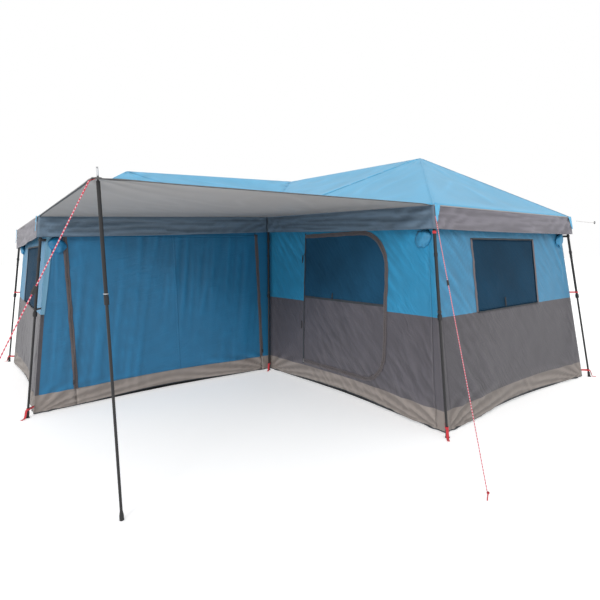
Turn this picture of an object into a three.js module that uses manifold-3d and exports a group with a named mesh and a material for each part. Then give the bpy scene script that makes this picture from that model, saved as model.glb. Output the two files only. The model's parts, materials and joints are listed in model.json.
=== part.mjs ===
// Family instant tent: three square cabins round an inner corner, and an awning over the fourth square.
// Millimetres, +Z up. The origin is on the ground under the inner roof corner, and +X and +Y run along
// the two long walls. Eight telescopic legs stand outside the fabric. Each cabin has a hub and four arms.
import * as THREE from "three";
import { mergeVertices } from "three/addons/utils/BufferGeometryUtils.js";
import Module from "manifold-3d";

const wasm = await Module();
wasm.setup();

// ---- Driving dimensions: plan and heights -------------------------------------------------------------
const MODULE = 2120; // side of one square cabin, at the roof edge
const EAVE_HEIGHT = 1580; // roof edge over the outer legs
const INNER_EAVE_HEIGHT = 1660; // roof edge over the inner corner
const WING_PEAK_HEIGHT = 2200; // the two wing cabins
const CORNER_PEAK_HEIGHT = 2280; // the cabin in the corner
const HUB_SHIFT = 60; // each hub stands this far off its cabin's middle, away from the inner corner
const VALANCE_DROP = 165; // the band that hangs from the roof edge
const VALANCE_FLARE = 22; // how far the band's lower edge stands out on the outer sides
const LEG_TOP_INSET = 25; // leg axis inside the roof edge, at roof height
const OUTER_FOOT_OUTSET = 185; // leg axis outside the roof edge, at the ground, on the outer sides
const INNER_FOOT_OUTSET = 50; // the same on the two porch sides
const LEG_TO_WALL = 45; // from a leg's axis to the face of the wall behind it

// ---- Frame tubes --------------------------------------------------------------------------------------
const LOWER_TUBE_RADIUS = 8.5;
const LOWER_TUBE_WALL = 1.3;
const UPPER_TUBE_WALL = 1.4;
const BORE_CLEARANCE = 0.6; // lower tube in the bore of the upper one
const TUBE_CLEARANCE = 0.5; // lower tube in the bushing of the upper one
const UPPER_TUBE_RADIUS = LOWER_TUBE_RADIUS + BORE_CLEARANCE + UPPER_TUBE_WALL;
const COLLAR_RADIUS = UPPER_TUBE_RADIUS + 5;
const COLLAR_LENGTH = 44;
const COLLAR_HEIGHT = 812; // middle of the lock collar
const BRACKET_BELOW_EAVE = 340; // middle of the strap bracket on the upper tube
const BRACKET_RADIUS = UPPER_TUBE_RADIUS + 2.5;
const BRACKET_LENGTH = 26;
const TUBE_OVERLAP = 66; // lower tube inside the upper one, above the collar's lower end
const HEAD_RADIUS = UPPER_TUBE_RADIUS + 7.5;
const HEAD_LENGTH = 50;
const HEAD_BELOW_EAVE = 14; // top of the leg's head under the roof edge
const HEAD_FLOOR = 8; // solid end between the head and the upper tube's bore
const FOOT_PAD_RADIUS = LOWER_TUBE_RADIUS + 7.5;
const FOOT_PAD_THICKNESS = 5;
const FOOT_CAP_RADIUS = LOWER_TUBE_RADIUS + 2.5;
const FOOT_CAP_HEIGHT = 48;
const TUBE_SIDES = 12;

// ---- Roof arms and hubs -------------------------------------------------------------------------------
const ARM_RADIUS = 8.5;
const ARM_DROP = 46; // arm axis under the roof's outer face
const ARM_EYE_THICKNESS = 12;
const ARM_EYE_RADIUS = 10;
const ARM_EYE_LENGTH = 34;
const HINGE_PIN_RADIUS = 3;
const HINGE_CLEARANCE = 0.5; // pin in the eye, and eye between the ears
const EAR_THICKNESS = 5;
const EAR_SEAT = 8; // an ear reaches at least this far down beside the leg's head
const HEAD_PIN_REACH = 36; // leg axis to the hinge pin
const HUB_RADIUS = 34;
const HUB_HEIGHT = 46;
const HUB_PIN_REACH = 54; // hub axis to the hinge pin

// ---- Fabric -------------------------------------------------------------------------------------------
const ROOF_THICKNESS = 8; // measured straight down
const VALANCE_THICKNESS = 6;
const WALL_THICKNESS = 5;
const WALL_TOP_BELOW_EAVE = 80;
const WALL_GROUND_GAP = 4;
const WALL_CORNER_GAP = 3;
const FLOOR_THICKNESS = 5;
const FLOOR_TO_WALL = 6;
const PANEL_GAP = 4; // zip gap round the door and the front panel
const DOOR_HINGE_SIDE = 585; // from the inner corner along the wall
const DOOR_FAR_SIDE = 1660;
const DOOR_SILL = 200;
const DOOR_TOP = EAVE_HEIGHT - 155;
const DOOR_TOP_RADIUS = 300;
const DOOR_BOTTOM_RADIUS = 250;
const FRONT_PANEL_NEAR = 110; // from the inner corner along the wall
const FRONT_PANEL_FAR = 1940;
const FRONT_PANEL_SILL = 170;
const FRONT_PANEL_TOP = EAVE_HEIGHT - 130;
const WINDOW_NEAR = 520; // from the cabin's inner edge along the wall
const WINDOW_FAR = 1490;
const WINDOW_SILL = 797;
const WINDOW_TOP = EAVE_HEIGHT - 225;
const BLIND_MARGIN = 12; // the blind is larger than its window all round
const BLIND_THICKNESS = 4;
const BLIND_GAP = 4;

// ---- Awning, its pole, ropes and pegs -----------------------------------------------------------------
const AWNING_THICKNESS = 6;
const AWNING_GAP = 4; // between the awning's edge and the roof's band
const AWNING_STEPS = 8;
const POLE_TOP = [-2090, -1933, EAVE_HEIGHT + 2]; // the pole's shoulder, under the awning's corner
const POLE_FOOT = [-2070, -1911, 0];
const POLE_JOINT_HEIGHT = 1040;
const POLE_LOCK_LENGTH = 46;
const POLE_LOWER_RADIUS = 7;
const POLE_WALL = 1;
const POLE_CLEARANCE = 0.25; // lower pole in the bushing of the upper one
const POLE_UPPER_RADIUS = POLE_LOWER_RADIUS + 2 * POLE_CLEARANCE + POLE_WALL;
const POLE_LOCK_RADIUS = POLE_UPPER_RADIUS + 2.5;
const POLE_SPIKE_RADIUS = 4;
const POLE_SPIKE_LENGTH = 60;
const GROMMET_CLEARANCE = 3;
const AWNING_CORNER_MARGIN = 30; // cloth outside the pole
const POLE_OVERLAP = 70;
const ROPE_RADIUS = 2.5;
const ROPE_SIDES = 8;
const ROPE_GAP = 0.4; // rope's end to the piece that holds it
const FRONT_ROPE = [
  [-20, -2152, 1500],
  [-157, -2343, 1118],
  [-331, -2585, 634],
  [-543, -2880, 44],
];
const AWNING_ROPE = [
  [-2128, -1945, 1580],
  [-2327, -2004, 1203],
  [-2606, -2087, 674],
  [-2925, -2181, 70],
];
const SIDE_ROPE = [
  [2164, -2168, 1540],
  [2260, -2180, 1536],
  [2380, -2195, 1533],
  [2480, -2207, 1533],
];
const PEG_RADIUS = 3;
const PEG_LENGTH = 60;
const PEG_HEAD_RADIUS = 7;
const TENSIONER_LENGTH = 36;
const TENSIONER_WIDTH = 12;
const TENSIONER_THICKNESS = 10;
const TENSIONER_PLACE = 0.3; // share of the rope above the tensioner
const ZIP_PULL_WIDTH = 12;
const ZIP_PULL_LENGTH = 40;
const ZIP_PULL_THICKNESS = 4;
const ZIP_PULL_BASE = 190; // height of the pull's lower end
const ZIP_TO_PULL = 16; // from the panel's edge to the pull's middle

// ---- Materials ----------------------------------------------------------------------------------------
const finish = (color, roughness, metalness = 0) =>
  new THREE.MeshStandardMaterial({ color, roughness, metalness });
const paint = {
  upperTube: finish("#16181a", 0.45, 0.6),
  lowerTube: finish("#1c1e20", 0.4, 0.6),
  hub: finish("#101112", 0.55),
  roof: finish("#7dbcdc", 0.5),
  awning: finish("#8f8c8c", 0.55),
  wall: finish("#2f78a5", 0.65),
  door: finish("#27587c", 0.65),
  blind: finish("#5d585c", 0.7),
  floor: finish("#3c3d40", 0.75),
  rope: finish("#b3343a", 0.8),
  peg: finish("#8b1f24", 0.4, 0.5),
  clip: finish("#141516", 0.5),
};

// ---- Lines that the legs and walls follow -------------------------------------------------------------
// A side says where a leg or wall stands in one direction: on the far or near outer side, on a porch
// side, or midway, where nothing slants.
const TOP_OUTER = MODULE - LEG_TOP_INSET;
const FOOT_OUTER = MODULE + OUTER_FOOT_OUTSET;
const legSides = {
  plus: [TOP_OUTER, FOOT_OUTER],
  minus: [-TOP_OUTER, -FOOT_OUTER],
  porch: [LEG_TOP_INSET, -INNER_FOOT_OUTSET],
  middle: [0, 0],
};
const along = ([top, foot], z) => foot + ((top - foot) * z) / EAVE_HEIGHT;
const legAt = (side, z) => along(legSides[side], z);
const inward = { plus: -1, minus: 1, porch: 1 };
// Where a wall's outer face stands at height z, moved inwards by depth.
const wallAt = (side, z, depth = 0) => legAt(side, z) + inward[side] * (LEG_TO_WALL + depth);
const roofEdge = { plus: MODULE, minus: -MODULE, porch: 0, middle: 0 };
const flare = { plus: VALANCE_FLARE, minus: -VALANCE_FLARE, porch: 0, middle: 0 };
const outward = { plus: 1, minus: -1, porch: -1, middle: 0 };

const legs = {
  inner: { x: "porch", y: "porch", eave: INNER_EAVE_HEIGHT },
  left_front: { x: "minus", y: "porch", eave: EAVE_HEIGHT },
  left_back: { x: "minus", y: "plus", eave: EAVE_HEIGHT },
  back_middle: { x: "middle", y: "plus", eave: EAVE_HEIGHT },
  back_right: { x: "plus", y: "plus", eave: EAVE_HEIGHT },
  right_middle: { x: "plus", y: "middle", eave: EAVE_HEIGHT },
  front_right: { x: "plus", y: "minus", eave: EAVE_HEIGHT },
  front_left: { x: "porch", y: "minus", eave: EAVE_HEIGHT },
};
const HUB_PLACE = MODULE / 2 + HUB_SHIFT;
const hubs = {
  left: {
    x: -HUB_PLACE,
    y: HUB_PLACE,
    peak: WING_PEAK_HEIGHT,
    legs: ["left_front", "left_back", "back_middle", "inner"],
  },
  corner: {
    x: HUB_PLACE,
    y: HUB_PLACE,
    peak: CORNER_PEAK_HEIGHT,
    legs: ["inner", "back_middle", "back_right", "right_middle"],
  },
  right: {
    x: HUB_PLACE,
    y: -HUB_PLACE,
    peak: WING_PEAK_HEIGHT,
    legs: ["inner", "right_middle", "front_right", "front_left"],
  },
};

// ---- Solids ------------------------------------------------------------------------------------------
function toSolid(geometry) {
  const bare = geometry.index ? geometry.toNonIndexed() : geometry.clone();
  const positions = new THREE.BufferGeometry().setAttribute("position", bare.getAttribute("position"));
  const merged = mergeVertices(positions, 1e-3);
  return new wasm.Manifold(
    new wasm.Mesh({
      numProp: 3,
      vertProperties: merged.attributes.position.array,
      triVerts: new Uint32Array(merged.index.array),
    }),
  );
}

function toGeometry(solid) {
  const mesh = solid.getMesh();
  const positions = new Float32Array(mesh.numVert * 3);
  for (let i = 0; i < mesh.numVert; i++)
    positions.set(mesh.vertProperties.subarray(i * mesh.numProp, i * mesh.numProp + 3), i * 3);
  return new THREE.BufferGeometry()
    .setAttribute("position", new THREE.BufferAttribute(positions, 3))
    .setIndex(new THREE.BufferAttribute(mesh.triVerts, 1));
}

const join = (...geometries) => geometries.map(toSolid).reduce((whole, piece) => whole.add(piece));

const tent = new THREE.Group();
function addPiece(name, shape, material) {
  const geometry = shape instanceof THREE.BufferGeometry ? shape : toGeometry(shape);
  geometry.computeVertexNormals();
  const mesh = new THREE.Mesh(geometry, material);
  mesh.name = name;
  tent.add(mesh);
  return mesh;
}

// A closed skin from corner points and faces. Each face is a fan of corner numbers, seen from outside.
function polyhedron(corners, faces) {
  const positions = [];
  for (const face of faces)
    for (let i = 1; i + 1 < face.length; i++)
      for (const corner of [face[0], face[i], face[i + 1]]) positions.push(...corners[corner]);
  const attribute = new THREE.Float32BufferAttribute(positions, 3);
  return new THREE.BufferGeometry().setAttribute("position", attribute);
}

// A box of eight corners, given as its four front corners anticlockwise and the four behind them.
const block = (front, back) =>
  polyhedron([...front, ...back], [
    [0, 1, 2, 3],
    [7, 6, 5, 4],
    [0, 4, 5, 1],
    [1, 5, 6, 2],
    [2, 6, 7, 3],
    [3, 7, 4, 0],
  ]);

// Moves a geometry made round the Z axis so that its axis starts at one point and passes through another.
function stand(geometry, from, towards) {
  const start = new THREE.Vector3(...from);
  const direction = new THREE.Vector3(...towards).sub(start).normalize();
  const turn = new THREE.Quaternion().setFromUnitVectors(new THREE.Vector3(0, 0, 1), direction);
  return geometry.clone().applyQuaternion(turn).translate(...from);
}

// A solid of revolution about Z, from anticlockwise [radius, height] points that begin and end on it.
const turned = (points, sides = TUBE_SIDES) =>
  new THREE.LatheGeometry(points.map(([r, z]) => new THREE.Vector2(r, z)), sides).rotateX(Math.PI / 2);

const rod = (radius, from, to, sides = TUBE_SIDES) => {
  const length = new THREE.Vector3(...from).distanceTo(new THREE.Vector3(...to));
  return stand(turned([[0, 0], [radius, 0], [radius, length], [0, length]], sides), from, to);
};

// ---- Legs ---------------------------------------------------------------------------------------------
// Every height along a leg is measured on its slanted axis, from the ground.
function legAxis({ x, y, eave }) {
  const foot = new THREE.Vector3(legAt(x, 0), legAt(y, 0), 0);
  const top = new THREE.Vector3(legAt(x, eave), legAt(y, eave), eave);
  const stretch = top.distanceTo(foot) / eave;
  return { foot, top, stretch, point: (z) => foot.clone().lerp(top, z / eave).toArray() };
}

// The vertical ears that hold an arm's eye, and the pin through them, reaching out towards a bearing.
function clevis(centre, bearing, reach, inside, drop = 0) {
  const earCentre = ARM_EYE_THICKNESS / 2 + HINGE_CLEARANCE + EAR_THICKNESS / 2;
  const ear = (side) =>
    join(
      new THREE.BoxGeometry(reach - inside, EAR_THICKNESS, 2 * ARM_EYE_RADIUS + drop)
        .translate((reach + inside) / 2, side * earCentre, -drop / 2),
      new THREE.CylinderGeometry(ARM_EYE_RADIUS, ARM_EYE_RADIUS, EAR_THICKNESS, TUBE_SIDES)
        .translate(reach, side * earCentre, 0),
    );
  const pin = new THREE.CylinderGeometry(HINGE_PIN_RADIUS, HINGE_PIN_RADIUS, 2 * earCentre, TUBE_SIDES)
    .translate(reach, 0, 0);
  return ear(1).add(ear(-1)).add(toSolid(pin))
    .rotate([0, 0, THREE.MathUtils.radToDeg(bearing)])
    .translate(centre);
}

const bearingTo = (from, to) => Math.atan2(to[1] - from[1], to[0] - from[0]);

// The height of the roof over a place on the line from a roof corner to a hub, less the arm's drop.
function armHeight(leg, hub, place) {
  const corner = [roofEdge[leg.x], roofEdge[leg.y]];
  const reach = Math.hypot(place[0] - corner[0], place[1] - corner[1]);
  const share = reach / Math.hypot(hub.x - corner[0], hub.y - corner[1]);
  return leg.eave + (hub.peak - leg.eave) * share - ARM_DROP;
}

// Both hinge points of the arm between a leg and a hub.
function armEnds(leg, hub) {
  const head = legAxis(leg).point(leg.eave - HEAD_BELOW_EAVE - HEAD_LENGTH / 2);
  const bearing = bearingTo(head, [hub.x, hub.y]);
  const out = [Math.cos(bearing), Math.sin(bearing)];
  const atLeg = [head[0] + out[0] * HEAD_PIN_REACH, head[1] + out[1] * HEAD_PIN_REACH];
  const atHub = [hub.x - out[0] * HUB_PIN_REACH, hub.y - out[1] * HUB_PIN_REACH];
  atLeg.push(armHeight(leg, hub, atLeg));
  atHub.push(armHeight(leg, hub, atHub));
  return { atLeg, atHub, bearing };
}

const hubsOf = (legName) => Object.values(hubs).filter((hub) => hub.legs.includes(legName));

for (const [name, leg] of Object.entries(legs)) {
  const axis = legAxis(leg);
  const s = axis.stretch;
  const headTop = (leg.eave - HEAD_BELOW_EAVE) * s;
  const headBottom = headTop - HEAD_LENGTH;
  const collarBottom = COLLAR_HEIGHT * s - COLLAR_LENGTH / 2;
  const collarTop = collarBottom + COLLAR_LENGTH;
  const bore = UPPER_TUBE_RADIUS - UPPER_TUBE_WALL;
  const bushing = LOWER_TUBE_RADIUS + TUBE_CLEARANCE;
  const boreTop = headBottom - HEAD_FLOOR;
  const bracketLow = (EAVE_HEIGHT - BRACKET_BELOW_EAVE) * s - BRACKET_LENGTH / 2;
  const upper = stand(
    turned([
      [0, boreTop],
      [bore, boreTop],
      [bore, collarTop],
      [bushing, collarTop - 4],
      [bushing, collarBottom],
      [COLLAR_RADIUS - 3, collarBottom],
      [COLLAR_RADIUS, collarBottom + 8],
      [COLLAR_RADIUS, collarTop - 12],
      [UPPER_TUBE_RADIUS, collarTop],
      [UPPER_TUBE_RADIUS, bracketLow],
      [BRACKET_RADIUS, bracketLow],
      [BRACKET_RADIUS, bracketLow + BRACKET_LENGTH],
      [UPPER_TUBE_RADIUS, bracketLow + BRACKET_LENGTH],
      [UPPER_TUBE_RADIUS, headBottom],
      [HEAD_RADIUS, headBottom + 6],
      [HEAD_RADIUS, headTop - 4],
      [HEAD_RADIUS - 4, headTop],
      [0, headTop],
    ]),
    axis.point(0),
    axis.point(leg.eave),
  );
  let upperSolid = toSolid(upper);
  for (const hub of hubsOf(name)) {
    const { atLeg, bearing } = armEnds(leg, hub);
    const headCentre = axis.point(leg.eave - HEAD_BELOW_EAVE - HEAD_LENGTH / 2);
    const seat = leg.eave - HEAD_BELOW_EAVE - EAR_SEAT;
    const drop = Math.max(0, atLeg[2] - ARM_EYE_RADIUS - seat);
    const ears = [headCentre[0], headCentre[1], atLeg[2]];
    upperSolid = upperSolid.add(clevis(ears, bearing, HEAD_PIN_REACH, UPPER_TUBE_RADIUS, drop));
  }
  addPiece("leg_upper_" + name, upperSolid, paint.upperTube);

  const lowerTop = collarBottom + TUBE_OVERLAP;
  const lowerBore = LOWER_TUBE_RADIUS - LOWER_TUBE_WALL;
  const lower = toSolid(
    stand(
      turned([
        [0, -FOOT_PAD_RADIUS],
        [LOWER_TUBE_RADIUS, -FOOT_PAD_RADIUS],
        [LOWER_TUBE_RADIUS, lowerTop],
        [lowerBore, lowerTop],
        [lowerBore, FOOT_CAP_HEIGHT],
        [0, FOOT_CAP_HEIGHT],
      ]),
      axis.point(0),
      axis.point(leg.eave),
    ),
  );
  const cap = stand(
    turned([
      [0, -FOOT_PAD_RADIUS],
      [FOOT_CAP_RADIUS + 2, -FOOT_PAD_RADIUS],
      [FOOT_CAP_RADIUS, FOOT_CAP_HEIGHT],
      [0, FOOT_CAP_HEIGHT],
    ]),
    axis.point(0),
    axis.point(leg.eave),
  );
  const pad = rod(FOOT_PAD_RADIUS, axis.point(0), [axis.foot.x, axis.foot.y, FOOT_PAD_THICKNESS], 24);
  const ground = new THREE.BoxGeometry(200, 200, 100).translate(axis.foot.x, axis.foot.y, -50);
  const foot = toSolid(cap).subtract(toSolid(ground)).add(toSolid(pad));
  addPiece("leg_lower_" + name, lower.subtract(toSolid(ground)).add(foot), paint.lowerTube);
}

// ---- Hubs and roof arms -------------------------------------------------------------------------------
for (const [hubName, hub] of Object.entries(hubs)) {
  const middle = hub.peak - ARM_DROP - HUB_HEIGHT / 2;
  let hubSolid = toSolid(
    turned([
      [0, middle - HUB_HEIGHT / 2],
      [HUB_RADIUS - 6, middle - HUB_HEIGHT / 2],
      [HUB_RADIUS, middle - HUB_HEIGHT / 2 + 6],
      [HUB_RADIUS, middle + HUB_HEIGHT / 2 - 6],
      [HUB_RADIUS - 6, middle + HUB_HEIGHT / 2],
      [0, middle + HUB_HEIGHT / 2],
    ], 24).translate(hub.x, hub.y, 0),
  );
  for (const legName of hub.legs) {
    const leg = legs[legName];
    const { atLeg, atHub, bearing } = armEnds(leg, hub);
    hubSolid = hubSolid.add(
      clevis([hub.x, hub.y, atHub[2]], bearing + Math.PI, HUB_PIN_REACH, HUB_RADIUS - 8),
    );
    // The arm is made along X between its two pins, and then tilted and turned into place.
    const start = new THREE.Vector3(...atLeg);
    const end = new THREE.Vector3(...atHub);
    const span = start.distanceTo(end);
    const pitch = Math.asin((end.z - start.z) / span);
    const eye = (x, side) =>
      join(
        new THREE.CylinderGeometry(ARM_EYE_RADIUS - 1, ARM_EYE_RADIUS - 1, ARM_EYE_THICKNESS, TUBE_SIDES)
          .translate(x, 0, 0),
        new THREE.BoxGeometry(ARM_EYE_LENGTH, ARM_EYE_THICKNESS, 2 * ARM_EYE_RADIUS - 3)
          .translate(x + (side * ARM_EYE_LENGTH) / 2, 0, 0),
      ).subtract(
        toSolid(
          new THREE.CylinderGeometry(
            HINGE_PIN_RADIUS + HINGE_CLEARANCE,
            HINGE_PIN_RADIUS + HINGE_CLEARANCE,
            3 * ARM_EYE_THICKNESS,
            TUBE_SIDES,
          ).translate(x, 0, 0),
        ),
      );
    const tubeFrom = ARM_EYE_LENGTH - 10;
    const arm = toSolid(rod(ARM_RADIUS, [tubeFrom, 0, 0], [span - tubeFrom, 0, 0], 12))
      .add(eye(0, 1))
      .add(eye(span, -1))
      .rotate([0, -THREE.MathUtils.radToDeg(pitch), 0])
      .rotate([0, 0, THREE.MathUtils.radToDeg(bearing)])
      .translate(atLeg);
    addPiece(`roof_arm_${hubName}_to_${legName}`, arm, paint.upperTube);
  }
  addPiece("roof_hub_" + hubName, hubSolid, paint.hub);
}

// ---- Roof with its hanging band -----------------------------------------------------------------------
const outline = [
  "left_front",
  "inner",
  "front_left",
  "front_right",
  "right_middle",
  "back_right",
  "back_middle",
  "left_back",
];
const roofCorners = [];
for (const name of outline) {
  const { x, y, eave } = legs[name];
  const low = eave - VALANCE_DROP;
  const [ex, ey] = [roofEdge[x], roofEdge[y]];
  const [ox, oy] = [outward[x] * VALANCE_THICKNESS, outward[y] * VALANCE_THICKNESS];
  roofCorners.push(
    [ex + ox, ey + oy, eave], // outer face, top
    [ex + ox + flare[x], ey + oy + flare[y], low], // outer face, lower edge
    [ex + flare[x], ey + flare[y], low], // inner face, lower edge
    [ex, ey, eave - ROOF_THICKNESS], // inner face, top
  );
}
const firstPeak = roofCorners.length;
for (const hub of Object.values(hubs))
  roofCorners.push([hub.x, hub.y, hub.peak], [hub.x, hub.y, hub.peak - ROOF_THICKNESS]);
const corner = (name, place) => outline.indexOf(name) * 4 + place;
const peak = (name, place) => firstPeak + Object.keys(hubs).indexOf(name) * 2 + place;
const roofPanels = [
  ["left", "left_back", "left_front"],
  ["left", "left_front", "inner"],
  ["left", "inner", "corner"],
  ["corner", "inner", "right"],
  ["right", "inner", "front_left"],
  ["right", "front_left", "front_right"],
  ["right", "front_right", "right_middle"],
  ["right", "right_middle", "corner"],
  ["corner", "right_middle", "back_right"],
  ["corner", "back_right", "back_middle"],
  ["corner", "back_middle", "left"],
  ["left", "back_middle", "left_back"],
];
const roofFaces = [];
for (const panel of roofPanels) {
  const pick = (cornerPlace, peakPlace) =>
    panel.map((name) => (name in hubs ? peak(name, peakPlace) : corner(name, cornerPlace)));
  roofFaces.push(pick(0, 0), pick(3, 1).reverse());
}
for (let i = 0; i < outline.length; i++) {
  const [here, next] = [i * 4, ((i + 1) % outline.length) * 4];
  for (let side = 0; side < 3; side++)
    roofFaces.push([here + side, here + side + 1, next + side + 1, next + side]);
}
addPiece("roof_cover", polyhedron(roofCorners, roofFaces), paint.roof);

// ---- Walls --------------------------------------------------------------------------------------------
// Each wall runs from one corner to another, in X or Y, and its face stands on a side.
// An end that owns its corner reaches the next wall's outer face. Others stop short of its inner face.
const wing = [EAVE_HEIGHT, INNER_EAVE_HEIGHT];
const level = [EAVE_HEIGHT, EAVE_HEIGHT];
const walls = {
  wall_left_porch: {
    run: "x",
    face: "porch",
    from: "minus",
    to: "porch",
    ends: ["short", "inside"],
    eaves: wing,
  },
  wall_right_porch: {
    run: "y",
    face: "porch",
    from: "minus",
    to: "porch",
    ends: ["short", "own"],
    eaves: wing,
  },
  wall_left: { run: "y", face: "minus", from: "porch", to: "plus", ends: ["own", "own"], eaves: level },
  wall_front: { run: "x", face: "minus", from: "porch", to: "plus", ends: ["own", "own"], eaves: level },
  wall_back: {
    run: "x",
    face: "plus",
    from: "minus",
    to: "plus",
    ends: ["short", "short"],
    eaves: level,
  },
  wall_right: { run: "y", face: "plus", from: "minus", to: "plus", ends: ["short", "own"], eaves: level },
};
// How far each kind of end stands inside the outer face of the wall that it meets.
const endDepth = { own: 0, short: WALL_THICKNESS + WALL_CORNER_GAP, inside: -WALL_CORNER_GAP };
const ordered = (run, a, b, z) => (run === "x" ? [a, b, z] : [b, a, z]);
// A point of a wall: its place along the run, its depth behind the outer face, and its height.
const wallPoint = (wall, place, z, depth) => ordered(wall.run, place, wallAt(wall.face, z, depth), z);
const wallEnd = (wall, which, z) => wallAt(which ? wall.to : wall.from, z, endDepth[wall.ends[which]]);

// A slab between two faces of four points each, whichever way round they are given.
function slab(near, far) {
  const solid = toSolid(block(near, far));
  return solid.volume() > 0 ? solid : toSolid(block([...near].reverse(), [...far].reverse()));
}

function wallSolid(wall) {
  const low = WALL_GROUND_GAP;
  const tops = wall.eaves.map((eave) => eave - WALL_TOP_BELOW_EAVE);
  const face = (depth) => [
    wallPoint(wall, wallEnd(wall, 0, low), low, depth),
    wallPoint(wall, wallEnd(wall, 1, low), low, depth),
    wallPoint(wall, wallEnd(wall, 1, tops[1]), tops[1], depth),
    wallPoint(wall, wallEnd(wall, 0, tops[0]), tops[0], depth),
  ];
  return slab(face(0), face(WALL_THICKNESS));
}

// A panel in a wall's face, cut from an outline of [place, height] points.
function wallPanel(wall, shape, depth, thickness) {
  const drawn = shape.extractPoints(8).shape;
  const points = drawn.filter((p, i) => p.distanceTo(drawn[(i + 1) % drawn.length]) > 1e-6);
  if (THREE.ShapeUtils.isClockWise(points)) points.reverse();
  const count = points.length;
  const corners = [
    ...points.map((p) => wallPoint(wall, p.x, p.y, depth)),
    ...points.map((p) => wallPoint(wall, p.x, p.y, depth + thickness)),
  ];
  const faces = [];
  for (const [a, b, c] of THREE.ShapeUtils.triangulateShape(points, [])) {
    const upright = THREE.ShapeUtils.area([points[a], points[b], points[c]]) > 0;
    const [first, second] = upright ? [b, c] : [c, b];
    faces.push([a, first, second], [count + second, count + first, count + a]);
  }
  for (let i = 0; i < count; i++) {
    const next = (i + 1) % count;
    faces.push([i, count + i, count + next, next]);
  }
  const solid = toSolid(polyhedron(corners, faces));
  if (solid.volume() > 0) return solid;
  for (const face of faces) face.reverse();
  return toSolid(polyhedron(corners, faces));
}

// An upright outline with its own radius at each corner, anticlockwise from the lower left.
function roundedOutline(left, right, low, high, [lowLeft, lowRight, highRight, highLeft]) {
  const shape = new THREE.Shape();
  shape.moveTo(left + lowLeft, low).lineTo(right - lowRight, low);
  if (lowRight) shape.absarc(right - lowRight, low + lowRight, lowRight, -Math.PI / 2, 0);
  shape.lineTo(right, high - highRight);
  if (highRight) shape.absarc(right - highRight, high - highRight, highRight, 0, Math.PI / 2);
  shape.lineTo(left + highLeft, high);
  if (highLeft) shape.absarc(left + highLeft, high - highLeft, highLeft, Math.PI / 2, Math.PI);
  shape.lineTo(left, low + lowLeft);
  if (lowLeft) shape.absarc(left + lowLeft, low + lowLeft, lowLeft, Math.PI, 1.5 * Math.PI);
  return shape;
}

const CUT_MARGIN = 20; // how far a cutter passes a wall's faces
function openingIn(wall, shape) {
  return wallPanel(wall, shape, -CUT_MARGIN, WALL_THICKNESS + 2 * CUT_MARGIN);
}

const doorOutline = (margin) =>
  roundedOutline(
    -DOOR_FAR_SIDE - margin,
    -DOOR_HINGE_SIDE + margin,
    DOOR_SILL - margin,
    DOOR_TOP + margin,
    [DOOR_BOTTOM_RADIUS + margin, 0, 0, DOOR_TOP_RADIUS + margin],
  );
const frontOutline = (margin) =>
  roundedOutline(
    -FRONT_PANEL_FAR - margin,
    -FRONT_PANEL_NEAR + margin,
    FRONT_PANEL_SILL - margin,
    FRONT_PANEL_TOP + margin,
    [0, 0, 0, 0],
  );

for (const [name, wall] of Object.entries(walls)) {
  let solid = wallSolid(wall);
  if (name === "wall_right_porch") solid = solid.subtract(openingIn(wall, doorOutline(PANEL_GAP)));
  if (name === "wall_left_porch") solid = solid.subtract(openingIn(wall, frontOutline(PANEL_GAP)));
  addPiece(name, solid, paint.wall);
}
addPiece("door_flap", wallPanel(walls.wall_right_porch, doorOutline(0), 0, WALL_THICKNESS), paint.door);
addPiece("front_panel", wallPanel(walls.wall_left_porch, frontOutline(0), 0, WALL_THICKNESS), paint.door);

// A blind behind each window of the outer walls, one for each cabin side.
const windows = {
  blind_left: ["wall_left", WINDOW_NEAR, WINDOW_FAR],
  blind_front: ["wall_front", WINDOW_NEAR, WINDOW_FAR],
  blind_back_left: ["wall_back", -WINDOW_FAR, -WINDOW_NEAR],
  blind_back_right: ["wall_back", WINDOW_NEAR, WINDOW_FAR],
  blind_right_back: ["wall_right", WINDOW_NEAR, WINDOW_FAR],
  blind_right_front: ["wall_right", -WINDOW_FAR, -WINDOW_NEAR],
};
for (const [name, [wallName, from, to]] of Object.entries(windows)) {
  const outlineOfBlind = roundedOutline(
    from - BLIND_MARGIN,
    to + BLIND_MARGIN,
    WINDOW_SILL - BLIND_MARGIN,
    WINDOW_TOP + BLIND_MARGIN,
    [0, 0, 0, 0],
  );
  const depth = WALL_THICKNESS + BLIND_GAP;
  addPiece(name, wallPanel(walls[wallName], outlineOfBlind, depth, BLIND_THICKNESS), paint.blind);
}

// ---- Groundsheet --------------------------------------------------------------------------------------
const floorEdge = (side) => wallAt(side, 0, WALL_THICKNESS + FLOOR_TO_WALL);
const floorShape = new THREE.Shape();
floorShape
  .moveTo(floorEdge("minus"), floorEdge("porch"))
  .lineTo(floorEdge("porch"), floorEdge("porch"))
  .lineTo(floorEdge("porch"), floorEdge("minus"))
  .lineTo(floorEdge("plus"), floorEdge("minus"))
  .lineTo(floorEdge("plus"), floorEdge("plus"))
  .lineTo(floorEdge("minus"), floorEdge("plus"));
addPiece(
  "groundsheet",
  new THREE.ExtrudeGeometry(floorShape, { depth: FLOOR_THICKNESS, bevelEnabled: false }),
  paint.floor,
);

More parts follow.
